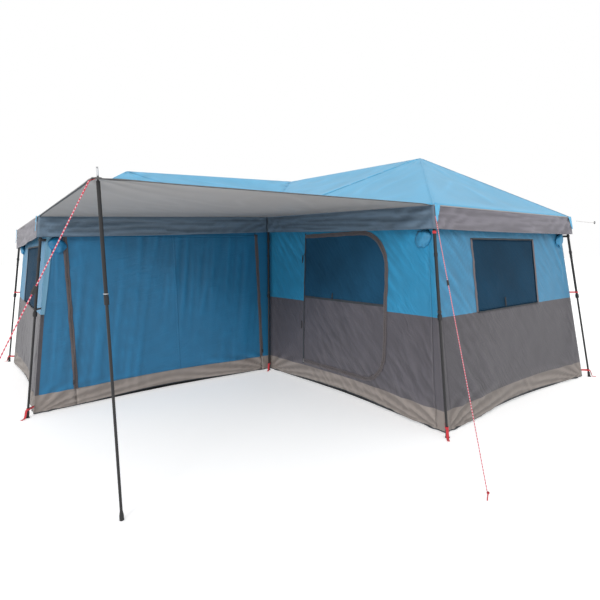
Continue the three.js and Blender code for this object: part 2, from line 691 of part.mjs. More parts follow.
// ---- Awning and its pole ------------------------------------------------------------------------------
const poleTop = new THREE.Vector3(...POLE_TOP);
const poleFoot = new THREE.Vector3(...POLE_FOOT);
const poleLength = poleTop.distanceTo(poleFoot);
const poleJoint = (POLE_JOINT_HEIGHT * poleLength) / poleTop.z;
const standPole = (geometry) => stand(geometry, POLE_FOOT, POLE_TOP);
const poleBore = POLE_UPPER_RADIUS - POLE_WALL;
const poleBushing = POLE_LOWER_RADIUS + POLE_CLEARANCE;
addPiece(
  "awning_pole_upper",
  standPole(
    turned([
      [0, poleLength + POLE_SPIKE_LENGTH],
      [POLE_SPIKE_RADIUS, poleLength + POLE_SPIKE_LENGTH],
      [POLE_SPIKE_RADIUS, poleLength],
      [POLE_UPPER_RADIUS, poleLength],
      [POLE_UPPER_RADIUS, poleJoint + POLE_LOCK_LENGTH],
      [POLE_LOCK_RADIUS, poleJoint + POLE_LOCK_LENGTH - 6],
      [POLE_LOCK_RADIUS, poleJoint],
      [poleBushing, poleJoint],
      [poleBushing, poleJoint + POLE_LOCK_LENGTH - 4],
      [poleBore, poleJoint + POLE_LOCK_LENGTH],
      [poleBore, poleLength - HEAD_FLOOR],
      [0, poleLength - HEAD_FLOOR],
    ].reverse()),
  ),
  paint.upperTube,
);
const poleGround = new THREE.BoxGeometry(200, 200, 100).translate(poleFoot.x, poleFoot.y, -50);
addPiece(
  "awning_pole_lower",
  toSolid(
    standPole(
      turned([
        [0, -FOOT_CAP_RADIUS],
        [FOOT_CAP_RADIUS, -FOOT_CAP_RADIUS],
        [FOOT_CAP_RADIUS, FOOT_CAP_HEIGHT / 2],
        [POLE_LOWER_RADIUS, FOOT_CAP_HEIGHT],
        [POLE_LOWER_RADIUS, poleJoint + POLE_OVERLAP],
        [POLE_LOWER_RADIUS - POLE_WALL, poleJoint + POLE_OVERLAP],
        [POLE_LOWER_RADIUS - POLE_WALL, FOOT_CAP_HEIGHT],
        [0, FOOT_CAP_HEIGHT],
      ]),
    ),
  ).subtract(toSolid(poleGround)),
  paint.lowerTube,
);

// The awning is stretched between the two porch eaves and the pole, so it is a grid between four corners.
const awningEdge = -(VALANCE_THICKNESS + AWNING_GAP);
const awningCorner = [
  POLE_TOP[0] - AWNING_CORNER_MARGIN,
  POLE_TOP[1] - AWNING_CORNER_MARGIN,
  POLE_TOP[2] + 6,
];
const awningCorners = {
  inner: [awningEdge, awningEdge, INNER_EAVE_HEIGHT],
  left: [-MODULE, awningEdge, EAVE_HEIGHT],
  front: [awningEdge, -MODULE, EAVE_HEIGHT],
  pole: awningCorner,
};
const awningPoint = (u, v) =>
  [0, 1, 2].map(
    (i) =>
      (1 - u) * (1 - v) * awningCorners.inner[i] +
      u * (1 - v) * awningCorners.left[i] +
      (1 - u) * v * awningCorners.front[i] +
      u * v * awningCorners.pole[i],
  );
function gridSolid(point, steps, thickness) {
  const row = steps + 1;
  const corners = [];
  for (const lift of [0, thickness])
    for (let i = 0; i < row; i++)
      for (let j = 0; j < row; j++) {
        const [x, y, z] = point(i / steps, j / steps);
        corners.push([x, y, z + lift]);
      }
  const at = (level, i, j) => level * row * row + i * row + j;
  const faces = [];
  for (let i = 0; i < steps; i++)
    for (let j = 0; j < steps; j++) {
      faces.push(
        [at(1, i, j), at(1, i + 1, j), at(1, i + 1, j + 1)],
        [at(1, i, j), at(1, i + 1, j + 1), at(1, i, j + 1)],
        [at(0, i, j), at(0, i + 1, j + 1), at(0, i + 1, j)],
        [at(0, i, j), at(0, i, j + 1), at(0, i + 1, j + 1)],
      );
    }
  for (let k = 0; k < steps; k++) {
    faces.push([at(0, k, 0), at(0, k + 1, 0), at(1, k + 1, 0), at(1, k, 0)]);
    faces.push([at(1, k, steps), at(1, k + 1, steps), at(0, k + 1, steps), at(0, k, steps)]);
    faces.push([at(1, 0, k), at(1, 0, k + 1), at(0, 0, k + 1), at(0, 0, k)]);
    faces.push([at(0, steps, k), at(0, steps, k + 1), at(1, steps, k + 1), at(1, steps, k)]);
  }
  return toSolid(polyhedron(corners, faces));
}
const grommetHole = standPole(
  turned([
    [0, poleLength - POLE_SPIKE_LENGTH],
    [POLE_SPIKE_RADIUS + GROMMET_CLEARANCE, poleLength - POLE_SPIKE_LENGTH],
    [POLE_SPIKE_RADIUS + GROMMET_CLEARANCE, poleLength + POLE_SPIKE_LENGTH],
    [0, poleLength + POLE_SPIKE_LENGTH],
  ]),
);
const awningSheet = gridSolid(awningPoint, AWNING_STEPS, AWNING_THICKNESS).subtract(toSolid(grommetHole));
addPiece("awning_sheet", awningSheet, paint.awning);

// ---- Guy ropes, tensioners and pegs -------------------------------------------------------------------
function rope(points) {
  const section = new THREE.Shape();
  section.absarc(0, 0, ROPE_RADIUS, 0, 2 * Math.PI);
  const curve = new THREE.CatmullRomCurve3(points.map((p) => new THREE.Vector3(...p)));
  return new THREE.ExtrudeGeometry(section, {
    extrudePath: curve,
    steps: 3 * (points.length - 1),
    curveSegments: ROPE_SIDES,
    bevelEnabled: false,
  });
}

// A peg driven in at the foot of a rope, leaning away from it: the part of it that stands over ground.
function peg(ropePoints) {
  const end = new THREE.Vector3(...ropePoints.at(-1));
  const away = end.clone().sub(new THREE.Vector3(...ropePoints.at(-2))).setZ(0).normalize();
  const top = end.clone().addScaledVector(away, PEG_HEAD_RADIUS + ROPE_RADIUS + ROPE_GAP);
  const foot = top.clone().addScaledVector(away, -0.3 * top.z).setZ(-PEG_LENGTH);
  const shaft = rod(PEG_RADIUS, foot.toArray(), top.toArray(), 12);
  const head = stand(
    turned([
      [0, -4],
      [PEG_HEAD_RADIUS, -4],
      [PEG_HEAD_RADIUS, 4],
      [0, 4],
    ], 12),
    top.toArray(),
    top.clone().add(top.clone().sub(foot)).toArray(),
  );
  const below = new THREE.BoxGeometry(400, 400, 200).translate(end.x, end.y, -100);
  return toSolid(shaft).add(toSolid(head)).subtract(toSolid(below));
}

function tensioner(points) {
  const start = new THREE.Vector3(...points[0]);
  const end = new THREE.Vector3(...points.at(-1));
  const middle = start.clone().lerp(end, TENSIONER_PLACE);
  const body = new THREE.BoxGeometry(TENSIONER_WIDTH, TENSIONER_THICKNESS, TENSIONER_LENGTH);
  const hole = new THREE.CylinderGeometry(ROPE_RADIUS + 1.5, ROPE_RADIUS + 1.5, 2 * TENSIONER_LENGTH, 12)
    .rotateX(Math.PI / 2);
  const solid = toGeometry(toSolid(body).subtract(toSolid(hole)));
  return stand(solid, middle.toArray(), end.toArray());
}

addPiece("guy_rope_front", rope(FRONT_ROPE), paint.rope);
addPiece("guy_rope_awning", rope(AWNING_ROPE), paint.rope);
addPiece("side_line", rope(SIDE_ROPE), paint.rope);
addPiece("peg_front", peg(FRONT_ROPE), paint.peg);
addPiece("peg_awning", peg(AWNING_ROPE), paint.peg);
addPiece("rope_tensioner_front", tensioner(FRONT_ROPE), paint.clip);
addPiece("rope_tensioner_awning", tensioner(AWNING_ROPE), paint.clip);
const hookStart = SIDE_ROPE.at(-1);
addPiece(
  "side_line_hook",
  new THREE.TorusGeometry(12, 3, 8, 20)
    .rotateX(Math.PI / 2)
    .translate(hookStart[0] + 15 + ROPE_GAP, hookStart[1], hookStart[2]),
  paint.clip,
);

// ---- Zip pulls beside the front panel -----------------------------------------------------------------
function zipPull(place) {
  const wall = walls.wall_left_porch;
  const half = ZIP_PULL_WIDTH / 2;
  const shape = roundedOutline(
    place - half,
    place + half,
    ZIP_PULL_BASE,
    ZIP_PULL_BASE + ZIP_PULL_LENGTH,
    [half - 1, half - 1, 2, 2],
  );
  return wallPanel(wall, shape, -ZIP_PULL_THICKNESS - 2, ZIP_PULL_THICKNESS);
}
addPiece("zip_pull_left", zipPull(-FRONT_PANEL_FAR - ZIP_TO_PULL), paint.clip);
addPiece("zip_pull_right", zipPull(-FRONT_PANEL_NEAR + ZIP_TO_PULL), paint.clip);

export default tent;
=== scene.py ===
# %% [markdown]
# # A family instant tent
# Three square cabins stand round an inner corner, and an awning roofs the porch between them. The frame of the
# tent, its legs, arms and hubs, comes ready made and in place. This notebook cuts and hangs the cloth on it,
# adds the webbing, zips and ropes, gives everything its finish, and lights it.

# %% Load the frame
import json
import math

import bpy
import numpy as np
from mathutils import Matrix, Vector


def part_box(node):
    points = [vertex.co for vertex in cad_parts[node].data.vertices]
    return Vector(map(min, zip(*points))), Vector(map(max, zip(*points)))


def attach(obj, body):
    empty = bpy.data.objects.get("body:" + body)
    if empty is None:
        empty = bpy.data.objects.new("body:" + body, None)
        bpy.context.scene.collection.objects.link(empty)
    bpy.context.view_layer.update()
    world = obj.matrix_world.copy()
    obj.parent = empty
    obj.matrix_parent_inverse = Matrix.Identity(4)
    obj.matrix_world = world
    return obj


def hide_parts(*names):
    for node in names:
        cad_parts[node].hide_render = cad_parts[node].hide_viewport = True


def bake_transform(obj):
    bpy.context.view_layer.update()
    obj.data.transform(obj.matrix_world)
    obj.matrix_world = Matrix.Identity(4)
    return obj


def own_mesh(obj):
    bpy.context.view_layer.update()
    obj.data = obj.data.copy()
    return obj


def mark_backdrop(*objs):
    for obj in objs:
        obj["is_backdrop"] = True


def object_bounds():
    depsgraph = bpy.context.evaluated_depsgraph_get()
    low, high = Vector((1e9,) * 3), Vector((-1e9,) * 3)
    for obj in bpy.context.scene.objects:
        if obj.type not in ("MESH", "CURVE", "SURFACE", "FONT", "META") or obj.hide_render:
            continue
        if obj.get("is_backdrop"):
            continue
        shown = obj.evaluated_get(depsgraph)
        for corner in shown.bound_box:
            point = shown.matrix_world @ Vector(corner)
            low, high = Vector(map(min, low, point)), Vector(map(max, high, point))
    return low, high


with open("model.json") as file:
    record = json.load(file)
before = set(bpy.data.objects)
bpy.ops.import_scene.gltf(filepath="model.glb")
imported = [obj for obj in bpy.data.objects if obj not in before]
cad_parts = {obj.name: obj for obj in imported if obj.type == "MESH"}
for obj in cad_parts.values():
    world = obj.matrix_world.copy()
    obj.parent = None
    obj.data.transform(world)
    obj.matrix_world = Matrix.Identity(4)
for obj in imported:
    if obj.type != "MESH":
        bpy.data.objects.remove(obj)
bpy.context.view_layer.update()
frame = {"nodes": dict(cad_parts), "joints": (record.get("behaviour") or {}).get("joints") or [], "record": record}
ROOT = "frame_and_cabin"
joints = {joint["name"]: joint for joint in frame["joints"]}

# %% [markdown]
# ## The camera
# A camera is easiest to place as a photographer would: where the tripod stands, which way it is turned, and
# how long the lens is. It comes first because the ropes are checked against what it sees.

# %% Camera
CAMERA_PLACE = Vector((-2.5404, -4.0055, 1.2544))
CAMERA_TURN = math.radians(36.480)  # to the right of +Y
CAMERA_TILT = math.radians(-5.993)
CAMERA_ROLL = math.radians(-0.756)
LENS_MM = 26.104

level = Vector((math.sin(CAMERA_TURN), math.cos(CAMERA_TURN), 0))
side = Vector((math.cos(CAMERA_TURN), -math.sin(CAMERA_TURN), 0))
forward = math.cos(CAMERA_TILT) * level + Vector((0, 0, math.sin(CAMERA_TILT)))
upward = side.cross(forward)
right = math.cos(CAMERA_ROLL) * side + math.sin(CAMERA_ROLL) * upward
up = math.cos(CAMERA_ROLL) * upward - math.sin(CAMERA_ROLL) * side
bpy.ops.object.camera_add(location=CAMERA_PLACE)
camera = bpy.context.object
camera.data.lens = LENS_MM
camera.data.clip_end = 200
camera.matrix_world = Matrix.Translation(CAMERA_PLACE) @ Matrix((right, up, -forward)).transposed().to_4x4()
bpy.context.scene.camera = camera
bpy.context.scene.view_settings.view_transform = "Standard"

# %% [markdown]
# ## Shader maths
# A finish is easier to read as a sum than as a web of nodes. `Field` wraps one output of a node, so that
# `1 - dust * 0.3` adds the Math nodes it needs. Every other node comes from one method, `Finish.node`.

# %% Field and Finish
class Field:
    """A number or colour that changes over a surface. Arithmetic on it adds Math nodes."""

    def __init__(self, finish, socket):
        self.finish, self.socket = finish, socket

    def maths(self, operation, *others):
        return self.finish.node("Math", {"operation": operation}, dict(enumerate((self, *others))))

    def __add__(self, other):
        return self.maths("ADD", other)

    def __sub__(self, other):
        return self.maths("SUBTRACT", other)

    def __rsub__(self, other):
        return self * -1.0 + other

    def __mul__(self, other):
        return self.maths("MULTIPLY", other)

    def __pow__(self, other):
        return self.maths("POWER", other)

    __radd__ = __add__
    __rmul__ = __mul__


class Finish:
    """A material that is built up from fields."""

    def __init__(self, name, roughness=0.6, metallic=0.0, **constants):
        self.material = bpy.data.materials.new(name)
        self.material.use_nodes = True
        self.tree = self.material.node_tree
        self.shader = self.tree.nodes["Principled BSDF"]
        self.shader.inputs["Roughness"].default_value = roughness
        self.shader.inputs["Metallic"].default_value = metallic
        for socket, value in constants.items():
            self.shader.inputs[socket.replace("_", " ")].default_value = value

    def node(self, kind, settings=None, values=None, output=0):
        made = self.tree.nodes.new("ShaderNode" + kind)
        for key, value in (settings or {}).items():
            if key == "stops":
                while len(made.color_ramp.elements) < len(value):
                    made.color_ramp.elements.new(0.5)
                for element, (place, colour) in zip(made.color_ramp.elements, value):
                    element.position, element.color = place, (*colour, 1)
            else:
                setattr(made, key, value)
        for key, value in (values or {}).items():
            if isinstance(value, Field):
                self.tree.links.new(value.socket, made.inputs[key])
            else:
                made.inputs[key].default_value = value
        return Field(self, made.outputs[output])

    def place(self):
        return self.node("TexCoord", output="Object")

    def axes(self):
        split = self.node("SeparateXYZ", None, {0: self.place()})
        outputs = split.socket.node.outputs
        return [Field(self, outputs[axis]) for axis in "XYZ"]

    def noise(self, scale, detail=4.0, roughness=0.55, stretch=(1, 1, 1)):
        where = self.node("Mapping", None, {"Vector": self.place(), "Scale": stretch})
        values = {"Vector": where, "Scale": scale, "Detail": detail, "Roughness": roughness}
        return self.node("TexNoise", None, values)

    def ramp(self, field, *stops):
        return self.node("ValToRGB", {"stops": stops}, {"Fac": field})

    def mix(self, share, first, second):
        colour = [(*c, 1) if isinstance(c, tuple) and len(c) == 3 else c for c in (first, second)]
        values = {"Factor": share, 6: colour[0], 7: colour[1]}
        return self.node("Mix", {"data_type": "RGBA"}, values, output=2)

    def bump(self, height, strength, distance):
        values = {"Height": height, "Strength": strength, "Distance": distance}
        self.feed("Normal", self.node("Bump", None, values))

    def feed(self, socket, field):
        self.tree.links.new(field.socket, self.shader.inputs[socket])


def shade(colour, factor):
    return tuple(min(1.0, channel * factor) for channel in colour)


# %% [markdown]
# ## Tent cloth
# Tent cloth is a thin coated polyester: a fine even weave, a satin surface, small crinkles from the packing
# bag, and a colour that is never quite even. A real fold is in the mesh; what is left for the finish is the
# weave, the crinkles, a little dust along the ground, a painted highlight along thin creases and painted
# shade in the valleys of the folds.

# %% Cloth finishes
WEAVE_PER_METRE = 420
DUST = (0.42, 0.38, 0.34)


def cloth_finish(
    name, colour, roughness=0.5, crinkle=0.5, dusty=0.0, uneven=0.10, sheen=0.05, pull=None, depth=1.0
):
    """pull is the slope, in degrees, of the thin creases in a wall's cloth, and depth is how strong they are, both
    in the bump and in the painted highlight along their ridges.
    """
    finish = Finish(name, roughness, Sheen_Weight=sheen, Sheen_Roughness=0.5)
    x, y, z = finish.axes()
    soft = finish.noise(1.7, 3)
    fine = finish.noise(14, 6, 0.6)
    threads = (x + y) * (WEAVE_PER_METRE * math.tau)
    picks = z * (WEAVE_PER_METRE * math.tau)
    weave = threads.maths("SINE") * 0.5 + picks.maths("SINE") * 0.5
    spread = soft * 0.7 + fine * 0.3
    base = finish.ramp(spread, (0.3, shade(colour, 1 - uneven)), (0.7, shade(colour, 1 + uneven)))
    if dusty:
        base = finish.mix((z * -4.0 + 1.0).maths("MAXIMUM", 0.0) * fine * dusty, base, DUST)
    crinkles = finish.noise(38, 3, 0.5)
    height = fine * (0.5 * crinkle) + crinkles * (0.3 * crinkle) + weave * 0.02
    if pull is not None:
        c, s = math.cos(math.radians(pull)), math.sin(math.radians(pull))
        run = x + y
        along, across = run * c + z * s, z * c - run * s
        patch = (finish.noise(2.6, 2) * 3.2 - 1.1).maths("MAXIMUM", 0.0).maths("MINIMUM", 1.0)
        wander = finish.noise(5, 2) * 0.10
        for share, width, length in ((0.6, 17.0, 2.2), (0.4, 36.0, 5.0)):
            where = finish.node("CombineXYZ", None, {"X": (across + wander) * width, "Y": along * length})
            wave = finish.node(
                "TexNoise", None, {"Vector": where, "Scale": 1.0, "Detail": 1.5, "Roughness": 0.4}
            )
            ridge = (1 - (wave - 0.5).maths("ABSOLUTE") * 5.0).maths("MAXIMUM", 0.0) ** 2.0
            height = height + ridge * patch * (2.4 * share * depth)
            # Painted highlight: the ridges of the creases are lightened in the base colour.
            base = finish.mix(ridge * patch * (0.30 * share * depth), base, shade(colour, 1.9))
    # Painted shade: the valleys of the modelled folds are darkened in the base colour; the attribute is 1 on their
    # crests and -1 in their valleys.
    fold = finish.node("Attribute", {"attribute_name": "fold"}, None, "Fac")
    finish.feed("Base Color", finish.mix((0.5 - fold * 0.5) * 0.45, base, shade(colour, 0.35)))
    finish.feed("Roughness", fine * 0.12 + (roughness - 0.06))
    finish.bump(height, 0.5, 0.004)
    return finish.material


ROOF_BLUE = (0.105, 0.460, 0.740)
WALL_BLUE = (0.030, 0.212, 0.385)
# Painted light: the door wall's blue is the walls' blue cloth made lighter.
DOOR_WALL_LIT_BLUE = (0.018, 0.245, 0.455)
PORCH_BLUE = (0.008, 0.150, 0.312)
LOWER_GREY = (0.090, 0.083, 0.097)
BAND_TAUPE = (0.265, 0.228, 0.208)
VALANCE_GREY = (0.170, 0.160, 0.188)
AWNING_GREY = (0.380, 0.364, 0.352)
MESH_NAVY = (0.006, 0.036, 0.072)

roof_cloth = cloth_finish("roof cloth", ROOF_BLUE, 0.42, 0.9, uneven=0.07)
porch_cloth = cloth_finish("front panel cloth", PORCH_BLUE, 0.5, pull=14, depth=0.35)
bright_cloth = cloth_finish("corner strip cloth", (0.20, 0.46, 0.66), 0.45)
# Creases run down from left to right on most walls, seen from outside, so their slope follows the wall's run.
FALLING, RISING = -48, 48
wall_cloth, lower_cloth = {}, {}
for way, slope in (("falling", FALLING), ("rising", RISING)):
    wall_cloth[way] = cloth_finish("wall cloth blue " + way, WALL_BLUE, 0.5, pull=slope, depth=0.7)
    # Painted shade and light: the same grey cloth is darkened on the falling walls and made a little lighter on the
    # rising ones, for how the light falls on them.
    grey_with_painted_light = shade(LOWER_GREY, 0.74 if way == "falling" else 1.05)
    lower_cloth[way] = cloth_finish("wall cloth grey " + way, grey_with_painted_light, 0.52, dusty=0.15, pull=slope, depth=0.8)
# Painted light: a lighter copy of the wall cloth for the door wall.
door_wall_lit_blue = cloth_finish("door wall cloth blue", DOOR_WALL_LIT_BLUE, 0.5, pull=RISING, depth=1.0)
band_cloth = cloth_finish("base band cloth", BAND_TAUPE, 0.6, 0.8, dusty=0.4)
# Painted shade: the outer walls' band is the porch walls' band cloth, darkened.
outer_band_shaded_cloth = cloth_finish("outer base band cloth", shade(BAND_TAUPE, 0.72), 0.6, 0.8, dusty=0.4)
valance_cloth = cloth_finish("roof band cloth", VALANCE_GREY, 0.5)
awning_cloth = cloth_finish("awning cloth", AWNING_GREY, 0.5, 0.6, uneven=0.06)
binding_cloth = cloth_finish("dark binding tape", (0.035, 0.042, 0.050), 0.7)
border_tape = cloth_finish("window border tape", (0.150, 0.120, 0.128), 0.7)
blind_cloth = cloth_finish("blind cloth", (0.030, 0.050, 0.075), 0.6)
ground_film = cloth_finish("groundsheet film", (0.050, 0.052, 0.055), 0.55, 0.4)
piping_cloth = cloth_finish("pale piping", (0.420, 0.400, 0.400), 0.6)

# %% [markdown]
# ## Mesh, zips, webbing, rope and hard parts
# Insect mesh reads as a dark, slightly open cloth. A zip is a pair of tapes with a line of teeth between them,
# and webbing is ribbed across. The rope is two colours of yarn laid in a spiral.

# %% The other finishes
def mesh_finish(name, pull, colour=MESH_NAVY):
    finish = Finish(name, 0.8, Specular_IOR_Level=0.15)
    x, y, z = finish.axes()
    soft = finish.noise(2.2, 3)
    finish.feed("Base Color", finish.ramp(soft, (0.3, shade(colour, 0.85)), (0.7, shade(colour, 1.25))))
    across, down = (x + y) * (300 * math.tau), z * (300 * math.tau)
    holes = across.maths("SINE") * down.maths("SINE")
    finish.feed("Alpha", holes * 0.03 + 0.95)
    c, s = math.cos(math.radians(pull)), math.sin(math.radians(pull))
    slanted = {"X": (z * c - (x + y) * s + soft * 0.06) * 24.0, "Y": ((x + y) * c + z * s) * 2.5}
    where = finish.node("CombineXYZ", None, slanted)
    wave = finish.node("TexNoise", None, {"Vector": where, "Scale": 1.0, "Detail": 1.5, "Roughness": 0.4})
    ridge = (1 - (wave - 0.5).maths("ABSOLUTE") * 5.0).maths("MAXIMUM", 0.0) ** 2.0
    finish.bump(holes * 0.1 + ridge * 1.6, 0.45, 0.004)
    return finish.material


def ribbed_finish(name, colour, pitch=0.004, roughness=0.7):
    finish = Finish(name, roughness, Sheen_Weight=0.25)
    x, y, z = finish.axes()
    run = (x + y + z) * (math.tau / pitch)
    rib = run.maths("SINE") * 0.5 + 0.5
    fine = finish.noise(60, 3)
    finish.feed("Base Color", finish.mix(rib * 0.35 + fine * 0.3, shade(colour, 0.75), shade(colour, 1.15)))
    finish.bump(rib, 0.5, 0.0008)
    return finish.material


def rope_finish(name, dark, pale, pitch):
    finish = Finish(name, 0.75, Sheen_Weight=0.2)
    x, y, z = finish.axes()
    turn = (z * 1.0 + x * 0.9 + y * 0.7) * (math.tau / pitch)
    strand = turn.maths("SINE")
    yarn = strand.maths("GREATER_THAN", 0.1)
    fuzz = finish.noise(220, 2)
    finish.feed("Base Color", finish.mix(yarn * (fuzz * 0.3 + 0.7), dark, pale))
    finish.bump(strand * 0.8 + fuzz * 0.4, 0.7, 0.0012)
    return finish.material


def metal_finish(name, colour, roughness, metallic, wear=0.06):
    finish = Finish(name, roughness, metallic)
    broad, grain = finish.noise(5, 4), finish.noise(240, 2, stretch=(1, 1, 0.05))
    finish.feed("Base Color", finish.mix(broad, shade(colour, 0.85), shade(colour, 1.25)))
    finish.feed("Roughness", grain * (2 * wear) + broad * wear + (roughness - wear))
    finish.bump(grain, 0.25, 0.0006)
    return finish.material


def plastic_finish(name, colour, roughness=0.5):
    finish = Finish(name, roughness, Coat_Weight=0.05)
    grain, broad = finish.noise(420, 2), finish.noise(12, 3)
    finish.feed("Base Color", finish.mix(broad, shade(colour, 0.8), shade(colour, 1.3)))
    finish.feed("Roughness", broad * 0.12 + (roughness - 0.06))
    finish.bump(grain, 0.3, 0.0005)
    return finish.material


window_mesh = {
    "falling": mesh_finish("insect mesh falling", -48), "rising": mesh_finish("insect mesh rising", 48)
}
# Painted light: the door's mesh is the same navy mesh as the windows, made lighter where it stands under the
# awning.
door_mesh = mesh_finish("door mesh", 48, shade(MESH_NAVY, 1.7))
zip_tape = ribbed_finish("zip tape", (0.098, 0.082, 0.086), 0.006)
zip_teeth_finish = ribbed_finish("zip teeth", (0.060, 0.048, 0.048), 0.003, 0.5)
red_webbing = ribbed_finish("red webbing", (0.620, 0.022, 0.035))
black_webbing = ribbed_finish("black webbing", (0.018, 0.018, 0.020))
red_rope = rope_finish("red and white rope", (0.560, 0.020, 0.060), (0.760, 0.520, 0.560), 0.022)
pale_rope = rope_finish("pale line", (0.480, 0.460, 0.450), (0.620, 0.600, 0.590), 0.02)
tube_coat = metal_finish("black tube coat", (0.006, 0.006, 0.007), 0.50, 0.0)
lower_coat = metal_finish("black lower tube coat", (0.008, 0.008, 0.009), 0.42, 0.0)
steel = metal_finish("bright steel", (0.62, 0.63, 0.65), 0.28, 1.0)
red_steel = metal_finish("red peg coat", (0.420, 0.020, 0.030), 0.4, 0.3)
black_plastic = plastic_finish("black nylon", (0.020, 0.020, 0.022))

node_finish = {
    "upper_tube": tube_coat,
    "lower_tube": lower_coat,
    "hub_plastic": black_plastic,
    "clip_plastic": black_plastic,
    "peg_metal": red_steel,
}
for part in frame["record"]["subparts"]:
    finish = node_finish.get(part["material_slot"])
    if finish:
        mesh = frame["nodes"][part["node"]].data
        mesh.materials.clear()
        mesh.materials.append(finish)

# %% [markdown]
# ## Where the walls stand
# Every wall leans in towards the roof at the same slope as the legs in front of it. The slope is read from the
# way a leg slides, and the foot of the wall from the box of its solid, so the cloth can't miss the frame.

# %% Wall planes
def lean(joint):
    axis = joints[joint]["axis"]
    return abs(axis[0]) / axis[2]


OUTER_LEAN, PORCH_LEAN = lean("leg_slide_left_back"), lean("leg_slide_inner")
wall_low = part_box("wall_left")[0]
porch_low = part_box("wall_right_porch")[0]
OUTER_BASE = -wall_low.x + OUTER_LEAN * wall_low.z
PORCH_BASE = -porch_low.x + PORCH_LEAN * porch_low.z
PLANES = {
    "plus": (1, OUTER_BASE, OUTER_LEAN),
    "minus": (-1, OUTER_BASE, OUTER_LEAN),
    "porch": (-1, PORCH_BASE, PORCH_LEAN),
}
EAVE = 1.580
INNER_EAVE = 1.660
GROUND_GAP = wall_low.z
WALL_TOP_DROP = 0.075  # top of the wall's cloth under the eave, clear of the roof arms


def stand_at(plane, z, out=0.0):
    """Where a wall's face is at height z, moved outwards by out."""
    sign, base, slope = PLANES[plane]
    return sign * (base - slope * z + out)


print("walls lean", round(OUTER_LEAN, 4), "and", round(PORCH_LEAN, 4), "from", round(OUTER_BASE, 3))

# %% [markdown]
# ## Folds
# Cloth folds are long and thin, and run the way the cloth is pulled. Smooth noise that is stretched one way and
# sharpened into ridges gives them. The noise is seeded, so the tent hangs the same way each time.

# %% Fold noise
def soft_noise(x, y, seed):
    """Smooth noise between about -1 and 1, with features about one unit wide."""
    angle = np.random.default_rng(seed).uniform(0, math.tau, (64, 64))
    column, row = np.floor(x).astype(int), np.floor(y).astype(int)
    fx, fy = x - column, y - row

    def corner(i, j):
        a = angle[(column + i) % 64, (row + j) % 64]
        return np.cos(a) * (fx - i) + np.sin(a) * (fy - j)

    sx, sy = fx * fx * (3 - 2 * fx), fy * fy * (3 - 2 * fy)
    low = corner(0, 0) * (1 - sx) + corner(1, 0) * sx
    high = corner(0, 1) * (1 - sx) + corner(1, 1) * sx
    return (low * (1 - sy) + high * sy) * 1.5


def creases(along, across, seed, sharp=2.0):
    """Thin raised folds that run along one direction, from 0 to 1."""
    ridge = 1 - np.abs(soft_noise(along, across, seed))
    return np.clip(ridge, 0, 1) ** (3 * sharp)


def smooth(t):
    t = np.clip(t, 0, 1)
    return t * t * (3 - 2 * t)


# %% [markdown]
# ## Cutting cloth
# A sheet starts as a flat grid. Each of its points is carried to its place by a function, faces that fall in a
# window or outside an outline are deleted, and a Solidify modifier gives it the thickness of cloth. Columns and
# rows are chosen so that seams and openings fall on edges of the grid.

# %% Helpers for meshes
CLOTH = 0.0012


def only(piece):
    """Makes a piece the only selected and the active object."""
    bpy.ops.object.select_all(action="DESELECT")
    piece.select_set(True)
    bpy.context.view_layer.objects.active = piece


def apply_modifier(piece, kind, **settings):
    only(piece)
    modifier = piece.modifiers.new(kind.title(), kind)
    for key, value in settings.items():
        setattr(modifier, key, value)
    bpy.ops.object.modifier_apply(modifier=modifier.name)


def points_of(piece):
    flat = np.empty(len(piece.data.vertices) * 3)
    piece.data.vertices.foreach_get("co", flat)
    return flat.reshape(-1, 3)


def set_points(piece, points):
    piece.data.vertices.foreach_set("co", np.asarray(points, float).ravel())
    piece.data.update()


def delete_faces(piece, doomed):
    only(piece)
    bpy.ops.object.mode_set(mode="EDIT")
    bpy.ops.mesh.select_mode(type="FACE")
    bpy.ops.mesh.select_all(action="DESELECT")
    bpy.ops.object.mode_set(mode="OBJECT")
    piece.data.polygons.foreach_set("select", doomed)
    bpy.ops.object.mode_set(mode="EDIT")
    bpy.ops.mesh.delete(type="FACE")
    bpy.ops.object.mode_set(mode="OBJECT")


def face_outwards(piece, outwards):
    """Turns a sheet round if its faces look against the given direction."""
    total = sum((face.normal * face.area for face in piece.data.polygons), Vector())
    if total.dot(Vector(outwards)) < 0:
        only(piece)
        bpy.ops.object.mode_set(mode="EDIT")
        bpy.ops.mesh.select_all(action="SELECT")
        bpy.ops.mesh.flip_normals()
        bpy.ops.object.mode_set(mode="OBJECT")


def fold_height(points, i, j):
    """How far each point of a grid stands over its neighbours, from -1 in a valley to 1 on a crest."""
    net = np.zeros((i.max() + 1, j.max() + 1, 3))
    net[i, j] = points
    if min(net.shape[:2]) < 8:
        return np.zeros(len(points))
    reach = 2
    padded = np.pad(net, ((reach, reach), (reach, reach), (0, 0)), mode="reflect", reflect_type="odd")
    count, deep = net.shape[:2]
    span = range(2 * reach + 1)
    mean = sum(padded[a : a + count, b : b + deep] for a in span for b in span) / len(span) ** 2
    normal = np.cross(np.gradient(mean, axis=0), np.gradient(mean, axis=1))
    normal /= np.linalg.norm(normal, axis=-1, keepdims=True) + 1e-12
    high = ((net - mean) * normal).sum(axis=-1)
    middle = normal.mean(axis=(0, 1))
    outwards = np.sign(middle @ (net.mean(axis=(0, 1)) - (0.3, 0.3, 0.8))) or 1.0
    return np.clip(high * outwards / 0.0022, -1, 1)[i, j]


